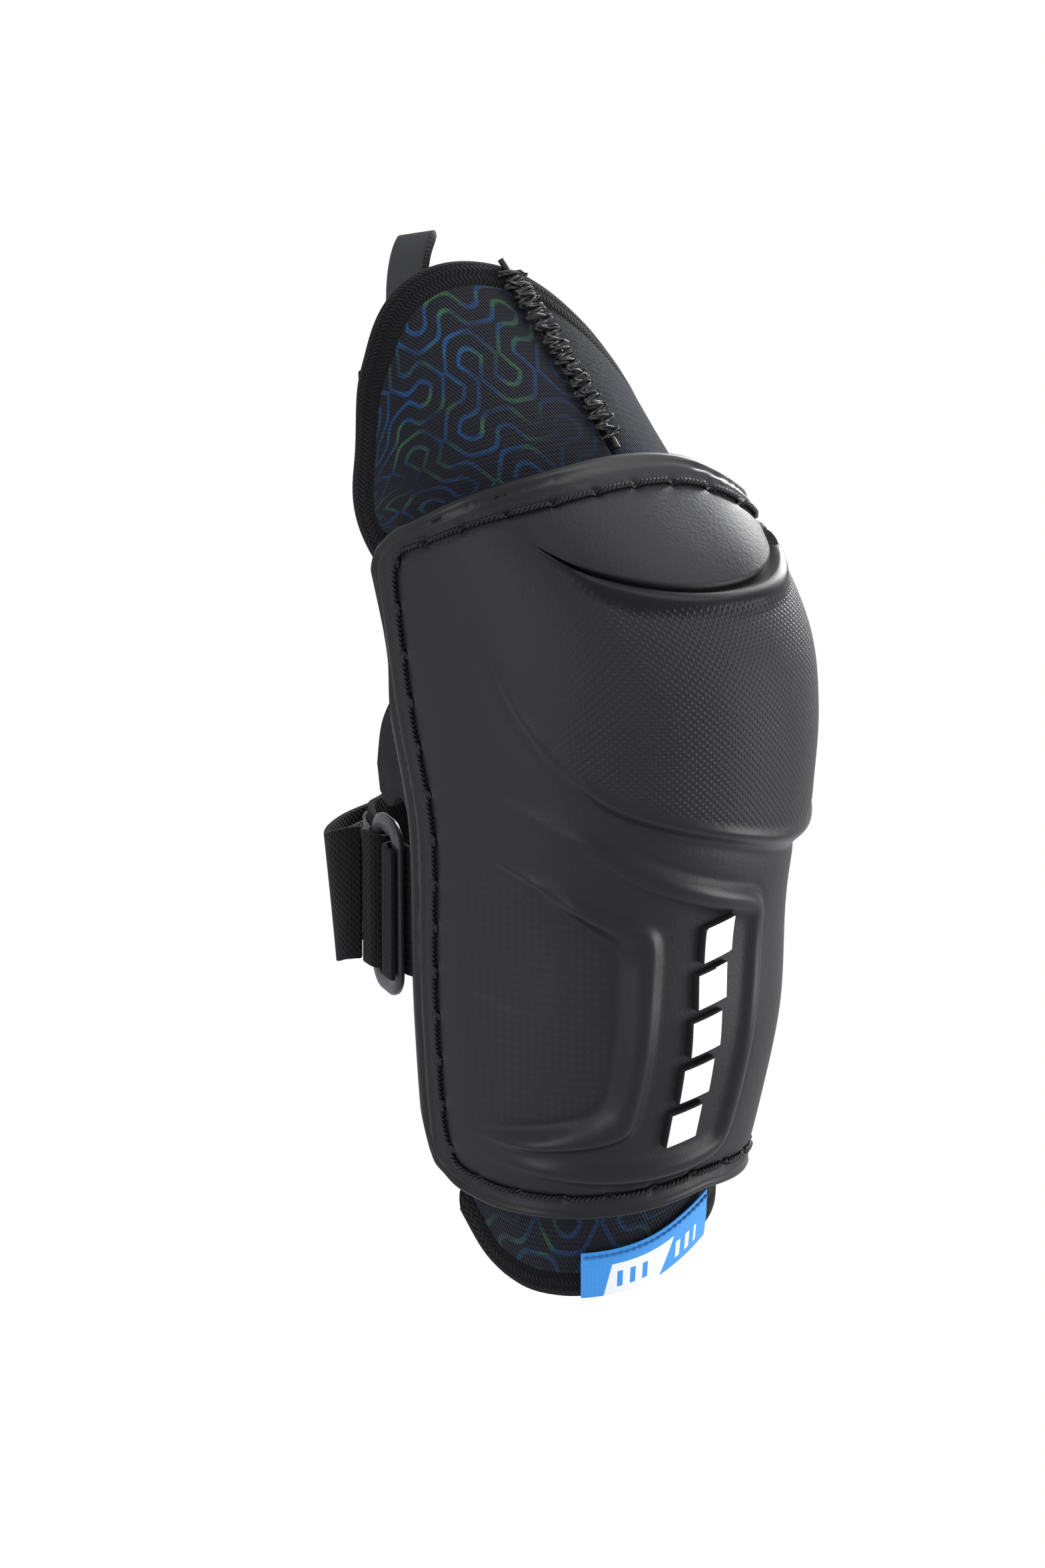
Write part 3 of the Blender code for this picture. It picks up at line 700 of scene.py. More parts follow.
def to_line(angle, height, line):
    """Distance to a line on the unrolled cap, its sign by side (+ on the left of its run), share along it."""
    best = np.full(angle.shape, 1e9)
    side = np.ones(angle.shape)
    share = np.zeros(angle.shape)
    steps = np.linalg.norm(np.diff(line, axis=0), axis=1)
    start = np.concatenate([[0], np.cumsum(steps)])
    for k, (a, b) in enumerate(zip(line, line[1:])):
        run = b - a
        px, pz = angle * ROUND - a[0], height - a[1]
        t = np.clip((px * run[0] + pz * run[1]) / steps[k]**2, 0, 1)
        dx, dz = px - t * run[0], pz - t * run[1]
        far = np.hypot(dx, dz)
        closer = far < best
        best = np.where(closer, far, best)
        side = np.where(closer, np.sign(run[0] * pz - run[1] * px + 1e-9), side)
        share = np.where(closer, (start[k] + t * steps[k]) / start[-1], share)
    return best * side, share


def edge_gap(angle, height):
    """How far in from the cap's edge a point is, mm."""
    step = 0.5
    gaps = [(cap_edge_angle(height) - np.abs(angle)) * RIM_PER_DEGREE]
    for edge, sign in ((cap_top, 1), (cap_bottom, -1)):
        slope = (edge(angle + step) - edge(angle - step)) / (2 * step * 0.8)
        gaps.append(sign * (edge(angle) - height) / np.sqrt(1 + slope**2))
    return sum(np.maximum(gap, 0.02)**-4.0 for gap in gaps)**-0.25


def lace_route():
    """The lacing's path round the cap, as angle and height: evenly spaced, with soft corners."""
    side = np.linspace(CAP_BOTTOM + 20, 172, 40)
    left = [(-(cap_edge_angle(z) - LACE_INSET / RIM_PER_DEGREE), z) for z in side[::-1]]
    low = [(a, cap_bottom(a) + LACE_INSET) for a in np.linspace(-104, 104, 70)]
    top = [(a, cap_top(a) - LACE_INSET) for a in np.linspace(98, -98, 70)]
    route = np.array(left + low + [(-a, z) for a, z in left[::-1]] + top) * (ROUND, 1)
    route = resample(np.concatenate([route, route[:1]]), count=900)[:-1]
    for _ in range(60):
        route = (np.roll(route, 1, 0) + route * 2 + np.roll(route, -1, 0)) / 4
    return route / (ROUND, 1)


LACE = lace_route()
LACE_POINTS = cap_surface(LACE[:, 0], LACE[:, 1])
LACE_STEPS = np.linalg.norm(np.roll(LACE_POINTS, -1, 0) - LACE_POINTS, axis=1)
LACE_ALONG = np.concatenate([[0], np.cumsum(LACE_STEPS)])
LACE_STITCHES = int(round(LACE_ALONG[-1] / STITCH_LENGTH))


def lace_at(distance):
    """Angle and height at a distance along the lacing."""
    looped = np.concatenate([LACE, LACE[:1]])
    distance = np.mod(distance, LACE_ALONG[-1])
    return np.interp(distance, LACE_ALONG, looped[:, 0]), np.interp(distance, LACE_ALONG, looped[:, 1])


def crescent_reach(angle):
    """How far out on the crescent an angle is, with its tips at 52."""
    return np.abs(angle + 1.0) * 1.02


def brow_at(angle):
    """Height of the brow's lower edge."""
    return smooth(angle, (-66, -52, -44, -34, -25, -15, -3, 10, 24, 36, 46, 56),
                  (200, 193.3, 188.9, 185.8, 183.7, 182, 180.9, 180.6, 181.2, 182.7, 185, 188.5))


def roll_at(angle):
    """Height of the lip under the crescent."""
    return smooth(angle, (-53, -48, -44, -39, -32, -23, -12, 0, 13, 24, 34, 42, 48),
                  (193.6, 187.9, 183.8, 180.9, 178.7, 177.4, 176.1, 174.9, 174.2, 175.0, 177.0, 180.0, 184.4))


def cap_relief(angle, height):
    """Relief on the cap, mm, and its masks for gloss, dots, weave and the crescent; the finish also paints shade by
    the gloss and crescent masks.
    """
    around = crescent_reach(angle)
    # brow, and the glossy crescent roll that it drops behind
    brow_line = brow_at(angle)
    roll_line = np.minimum(roll_at(angle), brow_line - 0.4)
    fade = ease((53 - around) / 12)
    t = (height - roll_line) / np.maximum(brow_line - roll_line, 0.6)
    on_roll = height <= brow_line + 0.01
    scoop = on_roll & (t >= -0.1)
    lip = 1.3 * ease((t + 0.1) / 0.5) - 0.3 * ease((t - 0.4) / 0.3) - 3.4 * ease((t - 0.70) / 0.28)
    above = np.maximum(height - brow_line, 0)
    brow = -0.5 - 0.5 * np.exp(-above / 9.0)
    relief = fade * np.where(scoop, lip, 0)
    relief += fade * np.where(on_roll, 0, brow + 0.5 * (1 - np.exp(-above / 14)))
    relief -= 0.3 * fade * (t < 0) * np.exp(-(roll_line - height) / 0.7)
    gloss = 1.0 * scoop * ease(fade * 3)
    # ridge round the foot of the dome
    to_top, _ = to_line(angle, height, unrolled(RIDGE_TOP))
    to_low, along = to_line(angle, height, unrolled(RIDGE_LOW))
    ends = ease(along / 0.16) * ease((1 - along) / 0.16)
    t = np.clip(to_low / np.maximum(to_low - to_top, 0.3), 0, 1)
    in_band = (to_low > 0) & (to_top < 0)
    inside = to_top >= 0
    band_height = -1.1 + 2.9 * ease(t * 1.3) - 0.7 * ease((t - 0.78) / 0.22)
    ridge = np.where(in_band, band_height, 0)
    ridge = np.where(inside, 1.1 * np.exp(-np.abs(to_top) / 7) - 0.7 * np.exp(-(to_top / 0.8)**2), ridge)
    foot = -1.1 * np.exp(-np.abs(to_low) / 5) - 0.4 * np.exp(-((to_low + 0.8) / 0.7)**2)
    ridge = np.where(to_low <= 0, foot, ridge)
    relief += ridge * ends * (height < 188) * np.where(in_band, np.clip((to_low - to_top) / 5, 0, 1), 1)
    gloss = np.maximum(gloss, in_band * ends)
    # outer stroke of the forearm plate: sheer on its outer side, gentle on its inner side
    off, along = to_line(angle, height, unrolled(OUTER_STROKE))
    body = ease(along / 0.22) * ease((1 - along) / 0.20)
    wide = 1.4 + 3.8 * body
    stroke = np.where(off > 0, 1 - ease(off / 1.9), 1 - ease((-off - 0.5 * wide) / (0.5 * wide + 1.0)))
    relief += STROKE_HEIGHT * body * stroke - 0.6 * body * np.exp(-((off - 2.3) / 0.8)**2)
    gloss = np.maximum(gloss, ease(stroke * 2) * ease(body * 2))
    # bracket round the woven panel, and the panel's recess
    to_out, along = to_line(angle, height, unrolled(BRACKET_OUT))
    to_edge, share = to_line(angle, height, unrolled(PANEL_EDGE))
    body = ease(along / 0.2) * ease((1 - along) / 0.2)
    open_side = ease((angle + 104) / 26)
    t = np.clip(to_edge / np.maximum(to_edge - to_out, 0.3), 0, 1)
    in_bracket = (to_edge > 0) & (to_out < 0)
    crest = (-0.9 + 3.0 * ease(t / 0.6) - 2.1 * ease((t - 0.72) / 0.28)) * np.clip((to_edge - to_out) / 6, 0, 1)
    recess = (to_edge <= 0) & (height > 42) & (height < 121) & (angle < -40)
    relief += np.where(in_bracket, crest * np.maximum(body, 0.12), 0)
    relief += np.where(recess, -PANEL_DEPTH * np.maximum(body, 0.12) * open_side, 0)
    relief -= 0.9 * open_side * body * np.exp(-(to_edge / 0.9)**2)
    gloss = np.maximum(gloss, in_bracket * ease(body * 2) * ease((t - 0.05) * 6))
    # rim: a rolled bead, a thin second bead, then the flat band with the lacing
    gap = edge_gap(angle, height)
    bead = np.sqrt(np.clip(1 - ((gap - BEAD_RADIUS) / BEAD_RADIUS)**2, 0, 1))
    thin = np.sqrt(np.clip(1 - ((gap - SECOND_BEAD) / 0.7)**2, 0, 1))
    relief = relief * ease((gap - 3.2) / 2.5) + 1.0 * bead + 0.55 * thin - 0.7 * (1 - ease(gap / 0.8))
    relief -= 0.55 * np.exp(-((gap - LACE_INSET) / 1.1)**2)
    gloss = np.maximum(gloss, 0.9 * (1 - ease((gap - 3.2) / 0.8)))
    # lacing holes
    holes = LACE_ALONG[-1] * np.arange(LACE_STITCHES) / LACE_STITCHES
    spots = cap_surface(*lace_at(holes))
    here = cap_surface(angle, height)
    for spot in spots:
        near = ((here - spot)**2).sum(-1)
        relief -= HOLE_DEPTH * np.exp(-near / HOLE_SPREAD)
    dots = inside * (height < roll_line + 1) * ease((angle + 67 - 0.30 * (height - 140)) / 24)
    dots = dots * ease(np.abs(to_top) / 1.5) * (1 - ease((angle - 60) / 16))
    weave = recess * open_side * ease(-to_edge / 1.5)
    return relief, gloss, dots, weave, scoop * ease(fade * 3)


CAP_ROWS = 288
BROW_ROW = 249 / CAP_ROWS


def cap_grid(across, up):
    """Angle and height of the cap's grid, with one row laid along the brow's edge."""
    nominal = CAP_BOTTOM + (CAP_TOP - CAP_BOTTOM) * up
    angle = (across * 2 - 1) * cap_edge_angle(nominal)
    low, high = cap_bottom(angle), cap_top(angle)
    brow = (brow_at(angle) - low) / (high - low)
    brow = BROW_ROW + (brow - BROW_ROW) * ease((66 - crescent_reach(angle)) / 14)
    up = np.where(up <= BROW_ROW + 1e-6, up / BROW_ROW * brow,
                  brow + (up - BROW_ROW) / (1 - BROW_ROW) * (1 - brow))
    return angle, low + (high - low) * up


def evened(values, rounds):
    """Values on the cap's grid, each drawn towards its neighbours."""
    grid = values.reshape(CAP_ROWS + 1, CAP_ROWS + 1).copy()
    for _ in range(rounds):
        grid[1:-1] = (grid[:-2] + 2 * grid[1:-1] + grid[2:]) / 4
        grid[:, 1:-1] = (grid[:, :-2] + 2 * grid[:, 1:-1] + grid[:, 2:]) / 4
    return grid.ravel()


def build_cap():
    fine, coarse = CAP_ROWS, 4
    masks = {}

    def place(across, up):
        angle, height = cap_grid(across, up)
        relief, *found = cap_relief(angle, height)
        crisp = (crescent_reach(angle) < 58) & (np.abs(height - brow_at(angle)) < 1.6) | (
            edge_gap(angle, height) < LACE_INSET + 2)
        relief = np.where(crisp, relief, evened(relief, 3))
        masks.update((name, evened(values, 2)) for name, values in zip(("gloss", "dots", "weave", "scoop"), found))
        return sunk(cap_surface, angle, height, -relief)

    cap = laid_sheet("cap", fine, fine, place, lambda a, b: (cap_grid(a, b)[0] * ROUND, cap_grid(a, b)[1]))
    mesh = bmesh.new()
    mesh.from_mesh(cap.data)
    mesh.verts.ensure_lookup_table()
    size = fine + 1
    outer = lambda row, column: mesh.verts[row * size + column]
    inner = {}
    for row in range(0, size, coarse):
        angle, height = cap_grid(np.arange(0, size, coarse) / fine, np.full(fine // coarse + 1, row / fine))
        for column, point in zip(range(0, size, coarse), sunk(cap_surface, angle, height, CAP_WALL)):
            inner[row, column] = mesh.verts.new(point * MM)
    mesh.verts.ensure_lookup_table()
    for row in range(0, fine, coarse):
        for column in range(0, fine, coarse):
            mesh.faces.new([inner[row + dr * coarse, column + dc * coarse]
                            for dr, dc in ((0, 0), (1, 0), (1, 1), (0, 1))])
    for start in range(0, fine, coarse):
        span = range(start, start + coarse + 1)
        for near, far in (
            ([outer(0, c) for c in span], [inner[0, start], inner[0, start + coarse]]),
            ([outer(fine, c) for c in reversed(span)], [inner[fine, start + coarse], inner[fine, start]]),
            ([outer(r, 0) for r in reversed(span)], [inner[start + coarse, 0], inner[start, 0]]),
            ([outer(r, fine) for r in span], [inner[start, fine], inner[start + coarse, fine]]),
        ):
            mesh.faces.new([*reversed(near), *far])
    mesh.to_mesh(cap.data)
    mesh.free()
    extra = len(cap.data.vertices) - size * size
    for name, values in masks.items():
        layer = cap.data.attributes.new(name, "FLOAT", "POINT")
        layer.data.foreach_set("value", np.concatenate([values, np.zeros(extra)]).astype(np.float32))
    return settle(cap, "pad", "moulded_plastic", MOULDED, "cap_shell", sharp=70)


def build_lacing():
    """Two plies twisted round each other, which dive into a hole at each stitch."""
    total = LACE_ALONG[-1]
    count = int(total / 0.42)
    distance = np.arange(count) * total / count
    angle, height = lace_at(distance)
    dive = np.cos(np.pi * distance * LACE_STITCHES / total)**24
    middle = sunk(cap_surface, angle, height, -0.15 + 1.7 * dive)
    lift = outward(cap_surface, angle, height)
    ahead = np.roll(middle, -1, 0) - np.roll(middle, 1, 0)
    side = np.cross(ahead, lift)
    side /= np.linalg.norm(side, axis=1, keepdims=True)
    turn = 2 * np.pi * distance * round(total / TWIST_LENGTH) / total
    plies = []
    for half in (0, math.pi):
        swing = PLY_SWING * (np.cos(turn + half)[:, None] * side + np.sin(turn + half)[:, None] * lift)
        plies.append(roll(f"lacing_{half:.0f}", middle + swing, side, lift, PLY_RADIUS, PLY_RADIUS, 7, closed=True))
    return settle(joined("lacing", plies), "pad", "bonded_thread", LACING, "cap_thread", sharp=60)


BAR_COUNT = 5
BAR_SPACING = 11.9
BAR_HEIGHT = 9.4
BAR_DEGREES = 11.5
BAR_SLANT = 0.16  # mm up for each degree
BAR_OUT = 2.0


def build_emblem():
    """Plain slanted bars in a leaning column: dark walls, white faces."""
    for number in range(BAR_COUNT):
        middle = 47.5 + number * BAR_SPACING
        lean = -18.5 + number * 1.7

        def place(across, up):
            angle = lean + (across - 0.5) * BAR_DEGREES
            rise = middle + (up - 0.5) * BAR_HEIGHT + (angle - lean) * BAR_SLANT
            return sunk(cap_surface, angle, rise, -BAR_OUT)

        bar = give_wall(laid_sheet(f"slanted_bar_{number + 1}", 12, 8, place), 2.4, 0.35)
        settle(bar, "pad", "white_print", None, f"emblem_bar_{number + 1}")
        bar.data.materials.append(MOULDED)
        bar.data.materials.append(WHITE)
        front = outward(cap_surface, np.array([lean]), np.array([middle]))[0]
        for face in bar.data.polygons:
            face.material_index = int(face.normal.dot(Vector(front)) > 0.93)


# ---- padding under the cap ----
def carrier_depth(height):
    return np.interp(height, (86, 106), (9.2, 12.8))


def pad_layer(name, angles, low, high, depth, thickness, puff=0.0, columns=60, rows=40, edge=0.8,
              surface=cap_surface):
    """A layer on a surface between two angles and two edge curves, plumped between its seams."""

    def place(across, up):
        angle = angles[0] + (angles[1] - angles[0]) * across
        bottom = low(angle) if callable(low) else low
        top = high(angle) if callable(high) else high
        height = bottom + (top - bottom) * up
        rim = (1 - (2 * across - 1)**8) * (1 - (2 * up - 1)**8)
        swell = puff * np.maximum(rim, 0)**0.5
        sink = depth(angle, height) if callable(depth) else depth
        return sunk(surface, angle, height, sink - swell)

    return give_wall(laid_sheet(name, columns, rows, place), thickness, edge)


def wing_low(angle):
    return smooth(np.abs(angle), (98, 115, 124, 130, 135, 150, 156), (74, 70, 80, 100, 114, 114.5, 117))


def wing_high(angle):
    return smooth(np.abs(angle), (98, 115, 130, 141, 150, 156), (150, 150, 147, 141, 133, 124))


def wing_depth(angle, height):
    """The wings come out towards the surface behind the cap's edge, whatever the height."""
    return np.interp(np.abs(angle), (124, 156), (5.8, 0.9))


def build_padding():
    settle(pad_layer("elbow_foam_cup", (-88, 88), 108, 168, 3.3, 8.8, edge=1.5), "pad", "closed_cell_foam", FOAM,
           "elbow_foam", fill=0.9)
    settle(pad_layer("forearm_foam_block", (-94, 94), 50, 104, 3.3, 5.2, edge=1.2), "pad", "closed_cell_foam", FOAM,
           "forearm_foam", fill=0.9)
    settle(pad_layer("carrier_cloth", (-104, 104), 50, 171, lambda a, z: carrier_depth(z) + 0.1, 1.0, edge=0.3),
           "pad", "printed_fabric", PRINTED, "chassis_cover")
    settle(pad_layer("arm_lining", (-100, 100), 53, 168, lambda a, z: carrier_depth(z) + 1.8, 2.0, edge=0.7),
           "pad", "brushed_liner", LINING, "arm_liner", fill=0.5)
    for name, sign in (("left", -1), ("right", 1)):
        low, high = (wing_high, wing_low) if sign < 0 else (wing_low, wing_high)
        wing = pad_layer(f"{name}_wing", (sign * 98, sign * 156), low, high, wing_depth, 2.6, edge=0.9, columns=44)
        settle(wing, "pad", "side_fabric", WING_CLOTH, f"{name}_side_wing", fill=0.5)


def build_gusset():
    """Stretch cloth that joins the arm lining to the flare, inside the elbow."""

    def place(across, up):
        angle = (across * 2 - 1) * 84
        low = sunk(cap_surface, angle * 1.12, 0 * angle + 162, 15.6)
        high = sunk(flare_surface, angle * 0.92, 0 * angle + 196, 7.4)
        slack = 1.4 * np.sin(np.pi * up)[:, None] * outward(flare_surface, angle, 0 * angle + 185)
        wrinkle = 0.35 * np.sin(up * 26 + 1.3 * np.sin(angle / 13))[:, None] * np.sin(np.pi * up)[:, None]
        return low + (high - low) * up[:, None] - slack - wrinkle * outward(flare_surface, angle, 0 * angle + 185)

    gusset = give_wall(laid_sheet("elbow_gusset", 80, 24, place), 0.9, 0.25)
    settle(gusset, None, "brushed_liner", LINING)
    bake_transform(gusset)


# ---- cuff and label ----
def edge_binding(name, surface, angle, height, depth, half_wide, half_thick, power=0.75, sides=24):
    """Knitted binding folded over a pad's edge: a flattened roll that lies along it."""
    path = sunk(surface, angle, height, depth)
    lift = outward(surface, angle, height)
    ahead = np.gradient(path, axis=0)
    side = np.cross(ahead, lift)
    side /= np.linalg.norm(side, axis=1, keepdims=True)
    lift = np.cross(side, ahead)
    lift /= np.linalg.norm(lift, axis=1, keepdims=True)
    return roll(name, path, side, lift, half_wide, half_thick, sides, power)


def build_cuff():
    cuff = pad_layer("cuff_tongue", (-108, 108), lambda a: cuff_low(a) + 2.0, 46, 0.7, CUFF_THICKNESS - 0.2,
                     puff=0.5, edge=0.8, surface=cuff_surface, columns=90, rows=30)
    settle(cuff, "pad", "printed_fabric", PRINTED, "cuff_pad", fill=0.6)
    angle = np.linspace(-110, 110, 220)
    rim = edge_binding("cuff_edge", cuff_surface, angle, cuff_low(angle) + 2.6, 2.6, 4.0, 2.9)
    settle(rim, "pad", "knitted_elastic", BINDING, "cuff_binding")

    def on_cuff(low, high, lift):
        def place(across, up):
            turn = -50 + 64 * across
            height = cuff_low(turn) + low + (high - low) * up
            return sunk(cuff_surface, turn, height, -lift - 0.25 * np.sin(up * 3.1))
        return place

    label = give_wall(laid_sheet("size_label_cloth", 60, 16, on_cuff(-0.5, 11.5, 1.5)), 0.5, 0.12)
    settle(label, "pad", "label_weave", LABEL, "size_label")
    stitches = []
    for number in range(22):
        start = -48.5 + 62.5 * number / 22
        turn = np.linspace(start, start + 1.9, 7)
        lift = -1.75 - 0.25 * np.sin(np.linspace(0, np.pi, 7))
        stitches.append(cord_piece(f"label_stitch_{number}", sunk(cuff_surface, turn, cuff_low(turn) + 10.3, lift),
                                   0.30, 6))
    settle(joined("label_stitching", stitches), "pad", "bonded_thread", BLUE_THREAD)


# ---- flare ----
def seam_angle(height):
    return smooth(height, (200, 218, 227, 238, 247), (1.5, 1.0, 0, -1.5, -3.0))


def build_flare():
    for name, low, high, angles in (("left", -85, -0.4, (-85, -0.4)), ("right", 0.4, 85, (0.4, 85))):
        panel = pad_layer(f"flare_{name}_cloth", angles, FLARE_BOTTOM, lambda a: flare_top(a) - 3.5, 0.5,
                          FLARE_THICKNESS - 1.0, puff=0.9, edge=0.9, surface=flare_surface, columns=70, rows=60)
        settle(panel, "flare", "printed_fabric", PRINTED, f"flare_panel_{name}", fill=0.7)
    lining = pad_layer("flare_lining_cloth", (-84, 84), FLARE_BOTTOM + 1, lambda a: flare_top(a) - 4.5,
                       FLARE_THICKNESS + 0.3, 1.2, edge=0.4, surface=flare_surface, columns=80, rows=30)
    settle(lining, "flare", "brushed_liner", LINING, "flare_lining", fill=0.3)
    across = np.linspace(-86, 86, 300)
    side = np.linspace(FLARE_BOTTOM - 8, 192, 12)
    tuck = np.linspace(-79, -86, 12)  # the lower ends turn in behind the cap
    angle = np.concatenate([tuck, across, -tuck[::-1]])
    height = np.concatenate([side, flare_top(across) - 4.4, side[::-1]])
    route = np.stack([angle, height], -1)
    for _ in range(30):
        route[1:-1] = (route[:-2] + 2 * route[1:-1] + route[2:]) / 4
    route = resample(route * (0.75, 1), count=330) / (0.75, 1)
    edge = edge_binding("flare_edge", flare_surface, route[:, 0], route[:, 1], 2.9, 4.8, 3.4)
    settle(edge, "flare", "knitted_elastic", BINDING, "flare_binding")
    build_flare_seam()


def build_flare_seam():
    """The butt join: three loose, uneven zigzags of thick thread over a core."""
    chance = np.random.default_rng(7)
    threads = []
    for layer, (phase, reach) in enumerate(((0.0, 3.4), (0.5, 2.9), (0.25, 2.2))):
        points = []
        turns = 15
        for k in range(turns * 2 + 1):
            height = 208 + (245 - 208) * (k + phase) / (turns * 2 + 1)
            swing = (1 if k % 2 else -1) * (reach + chance.uniform(-0.5, 0.5)) / 0.62
            points.append((seam_angle(height) + swing, height + chance.uniform(-0.4, 0.4)))
        route = flowing(points, 0.7)
        lift = -1.5 - 0.35 * layer - 0.25 * np.sin(np.arange(len(route)) * 0.9)
        path = sunk(flare_surface, route[:, 0], route[:, 1], lift)
        threads.append(cord_piece(f"zigzag_{layer}", resample(path, spacing=0.5), 0.42 - 0.05 * layer, 6))
    middle = np.linspace(206, 247, 60)
    path = sunk(flare_surface, seam_angle(middle), middle, -0.9)
    threads.append(cord_piece("seam_core", path, 0.8, 8))
    settle(joined("flare_seam_thread", threads), "flare", "bonded_thread", LACING, "flare_seam")


# ---- upper-arm strap ----
def bicep_path(first, last, count, out=0.0):
    points = []
    for a in np.linspace(first, last, count):
        slope = 2 * BICEP_BOW * a / BICEP_REACH
        shift = np.array((slope, 1.0)) * out / math.hypot(slope, 1.0)
        points.append(np.array((BICEP_REACH * a + shift[0], 33, 214))
                      + BICEP_BACK * (BICEP_BOW * (1 - a * a) + shift[1]))
    return np.array(points)


def edge_stitches(name, path, widths, out, gap=1.4, length=1.6, radius=0.22):
    """Rows of short stitches along both ends of a sewn patch."""
    stitches = []
    path, widths = np.asarray(path, float), np.broadcast_to(np.asarray(widths, float), np.shape(path))
    tall = np.linalg.norm(widths[0])
    for end in (0, -1):
        for k in range(int(tall / (length + gap))):
            share = (k + 0.5) * (length + gap) / tall - 0.5
            start = path[end] + widths[end] * share + np.asarray(out)
            stop = start + widths[end] / tall * length
            bow = (start + stop) / 2 + np.asarray(out) * 0.5
            stitches.append(cord_piece(f"{name}_{end}_{k}", flowing([start, bow, stop], 0.4), radius, 5))
    return joined(name, stitches)


def build_bicep_strap():
    settle(band("bicep_strap_elastic", bicep_path(-1, 1, 90), BICEP_UP * 25, 1.6), "flare", "strap_elastic", STRAP,
           "bicep_strap")
    patch = band("bicep_patch", bicep_path(0.72, 0.96, 14, 1.5), BICEP_UP * 20, 0.7, 0.2)
    settle(patch, "flare", "webbing", WEBBING, "bicep_strap_patch")
    rows = edge_stitches("bicep_patch_stitches", bicep_path(0.74, 0.94, 8, 1.9), BICEP_UP * 19,
                         (0.2, 0.12, -0.1))
    settle(rows, "flare", "bonded_thread", LACING)
    path = flowing([(-8, 49, 222), (-9.5, 49, 230), (-10, 48.4, 240), (-9, 48, 246.5), (-6, 49, 249.6),
                    (-2.5, 52, 248), (-0.5, 56, 242), (0, 58, 234)])
    settle(band("bicep_end_tape", path, (8, 19, -6), 1.8, 0.5), "bicep_end", "hook_and_loop", GREY_TAPE,
           "bicep_strap_end")


# ---- forearm strap and ring ----
RING_ALONG = np.array((math.sin(-RING_TURN), math.cos(RING_TURN), 0))
RING_OUT = np.array((-RING_ALONG[1], RING_ALONG[0], 0))
RING_HALF_TALL = 20.3
RING_DEEP = 12.8
RING_CORNER = 4.2
PATCH_OUT = 1.5  # from the strap's middle to a patch's


def at_ring(behind, outside):
    return np.array(RING_PIVOT) + RING_ALONG[:2] * behind + RING_OUT[:2] * outside


def at_strap_height(points):
    points = np.asarray(points, float)
    return np.concatenate([points, np.full((len(points), 1), STRAP_MIDDLE_Z)], 1)


def beside(points, distance):
    points = np.asarray(points, float)
    ahead = np.gradient(points, axis=0)
    across = np.stack([-ahead[:, 1], ahead[:, 0]], -1)
    return points + across / np.linalg.norm(across, axis=1, keepdims=True) * distance


def drooping(points, width, reach):
    """The tail's path and widths: it sinks and leans a little as it leaves the ring."""
    steps = np.linalg.norm(np.diff(points, axis=0), axis=1)
    share = ease((np.concatenate([[0], np.cumsum(steps)]) + (reach < 1)) / reach)
    path = at_strap_height(points) - np.stack([0 * share, 0 * share, TAIL_DROOP * share], -1)
    return path, np.stack([TAIL_LEAN[0] * share, TAIL_LEAN[1] * share, width + 0 * share], -1)


def under_cap(angles, depth, width):
    angles = np.array(angles, float)
    low = sunk(cap_surface, angles, STRAP_MIDDLE_Z - width / 2, depth)
    high = sunk(cap_surface, angles, STRAP_MIDDLE_Z + width / 2, depth)
    return (low + high) / 2, high - low


def build_ring():
    """A rounded bar bent into a long loop."""
    front, back = RING_CORNER, RING_DEEP - RING_CORNER
    top = RING_HALF_TALL - RING_CORNER
    loop = []
    for deep, tall, first in ((back, top, 0), (front, top, 90), (front, -top, 180), (back, -top, 270)):
        for turn in np.radians(first + np.linspace(0, 90, 13)):
            loop.append(RING_ALONG * (deep + RING_CORNER * math.cos(turn))
                        + np.array((0, 0, tall + RING_CORNER * math.sin(turn))))
    path = np.array((*RING_PIVOT, STRAP_MIDDLE_Z)) + loop
    side = np.cross(np.roll(path, -1, 0) - np.roll(path, 1, 0), RING_OUT)
    side /= np.linalg.norm(side, axis=1, keepdims=True)
    ring = roll("strap_ring", path, side, np.broadcast_to(RING_OUT, path.shape), 2.2, 1.2, 16, 0.7, closed=True)
    settle(ring, "ring", "ring_plastic", RING, "forearm_ring", sharp=60)


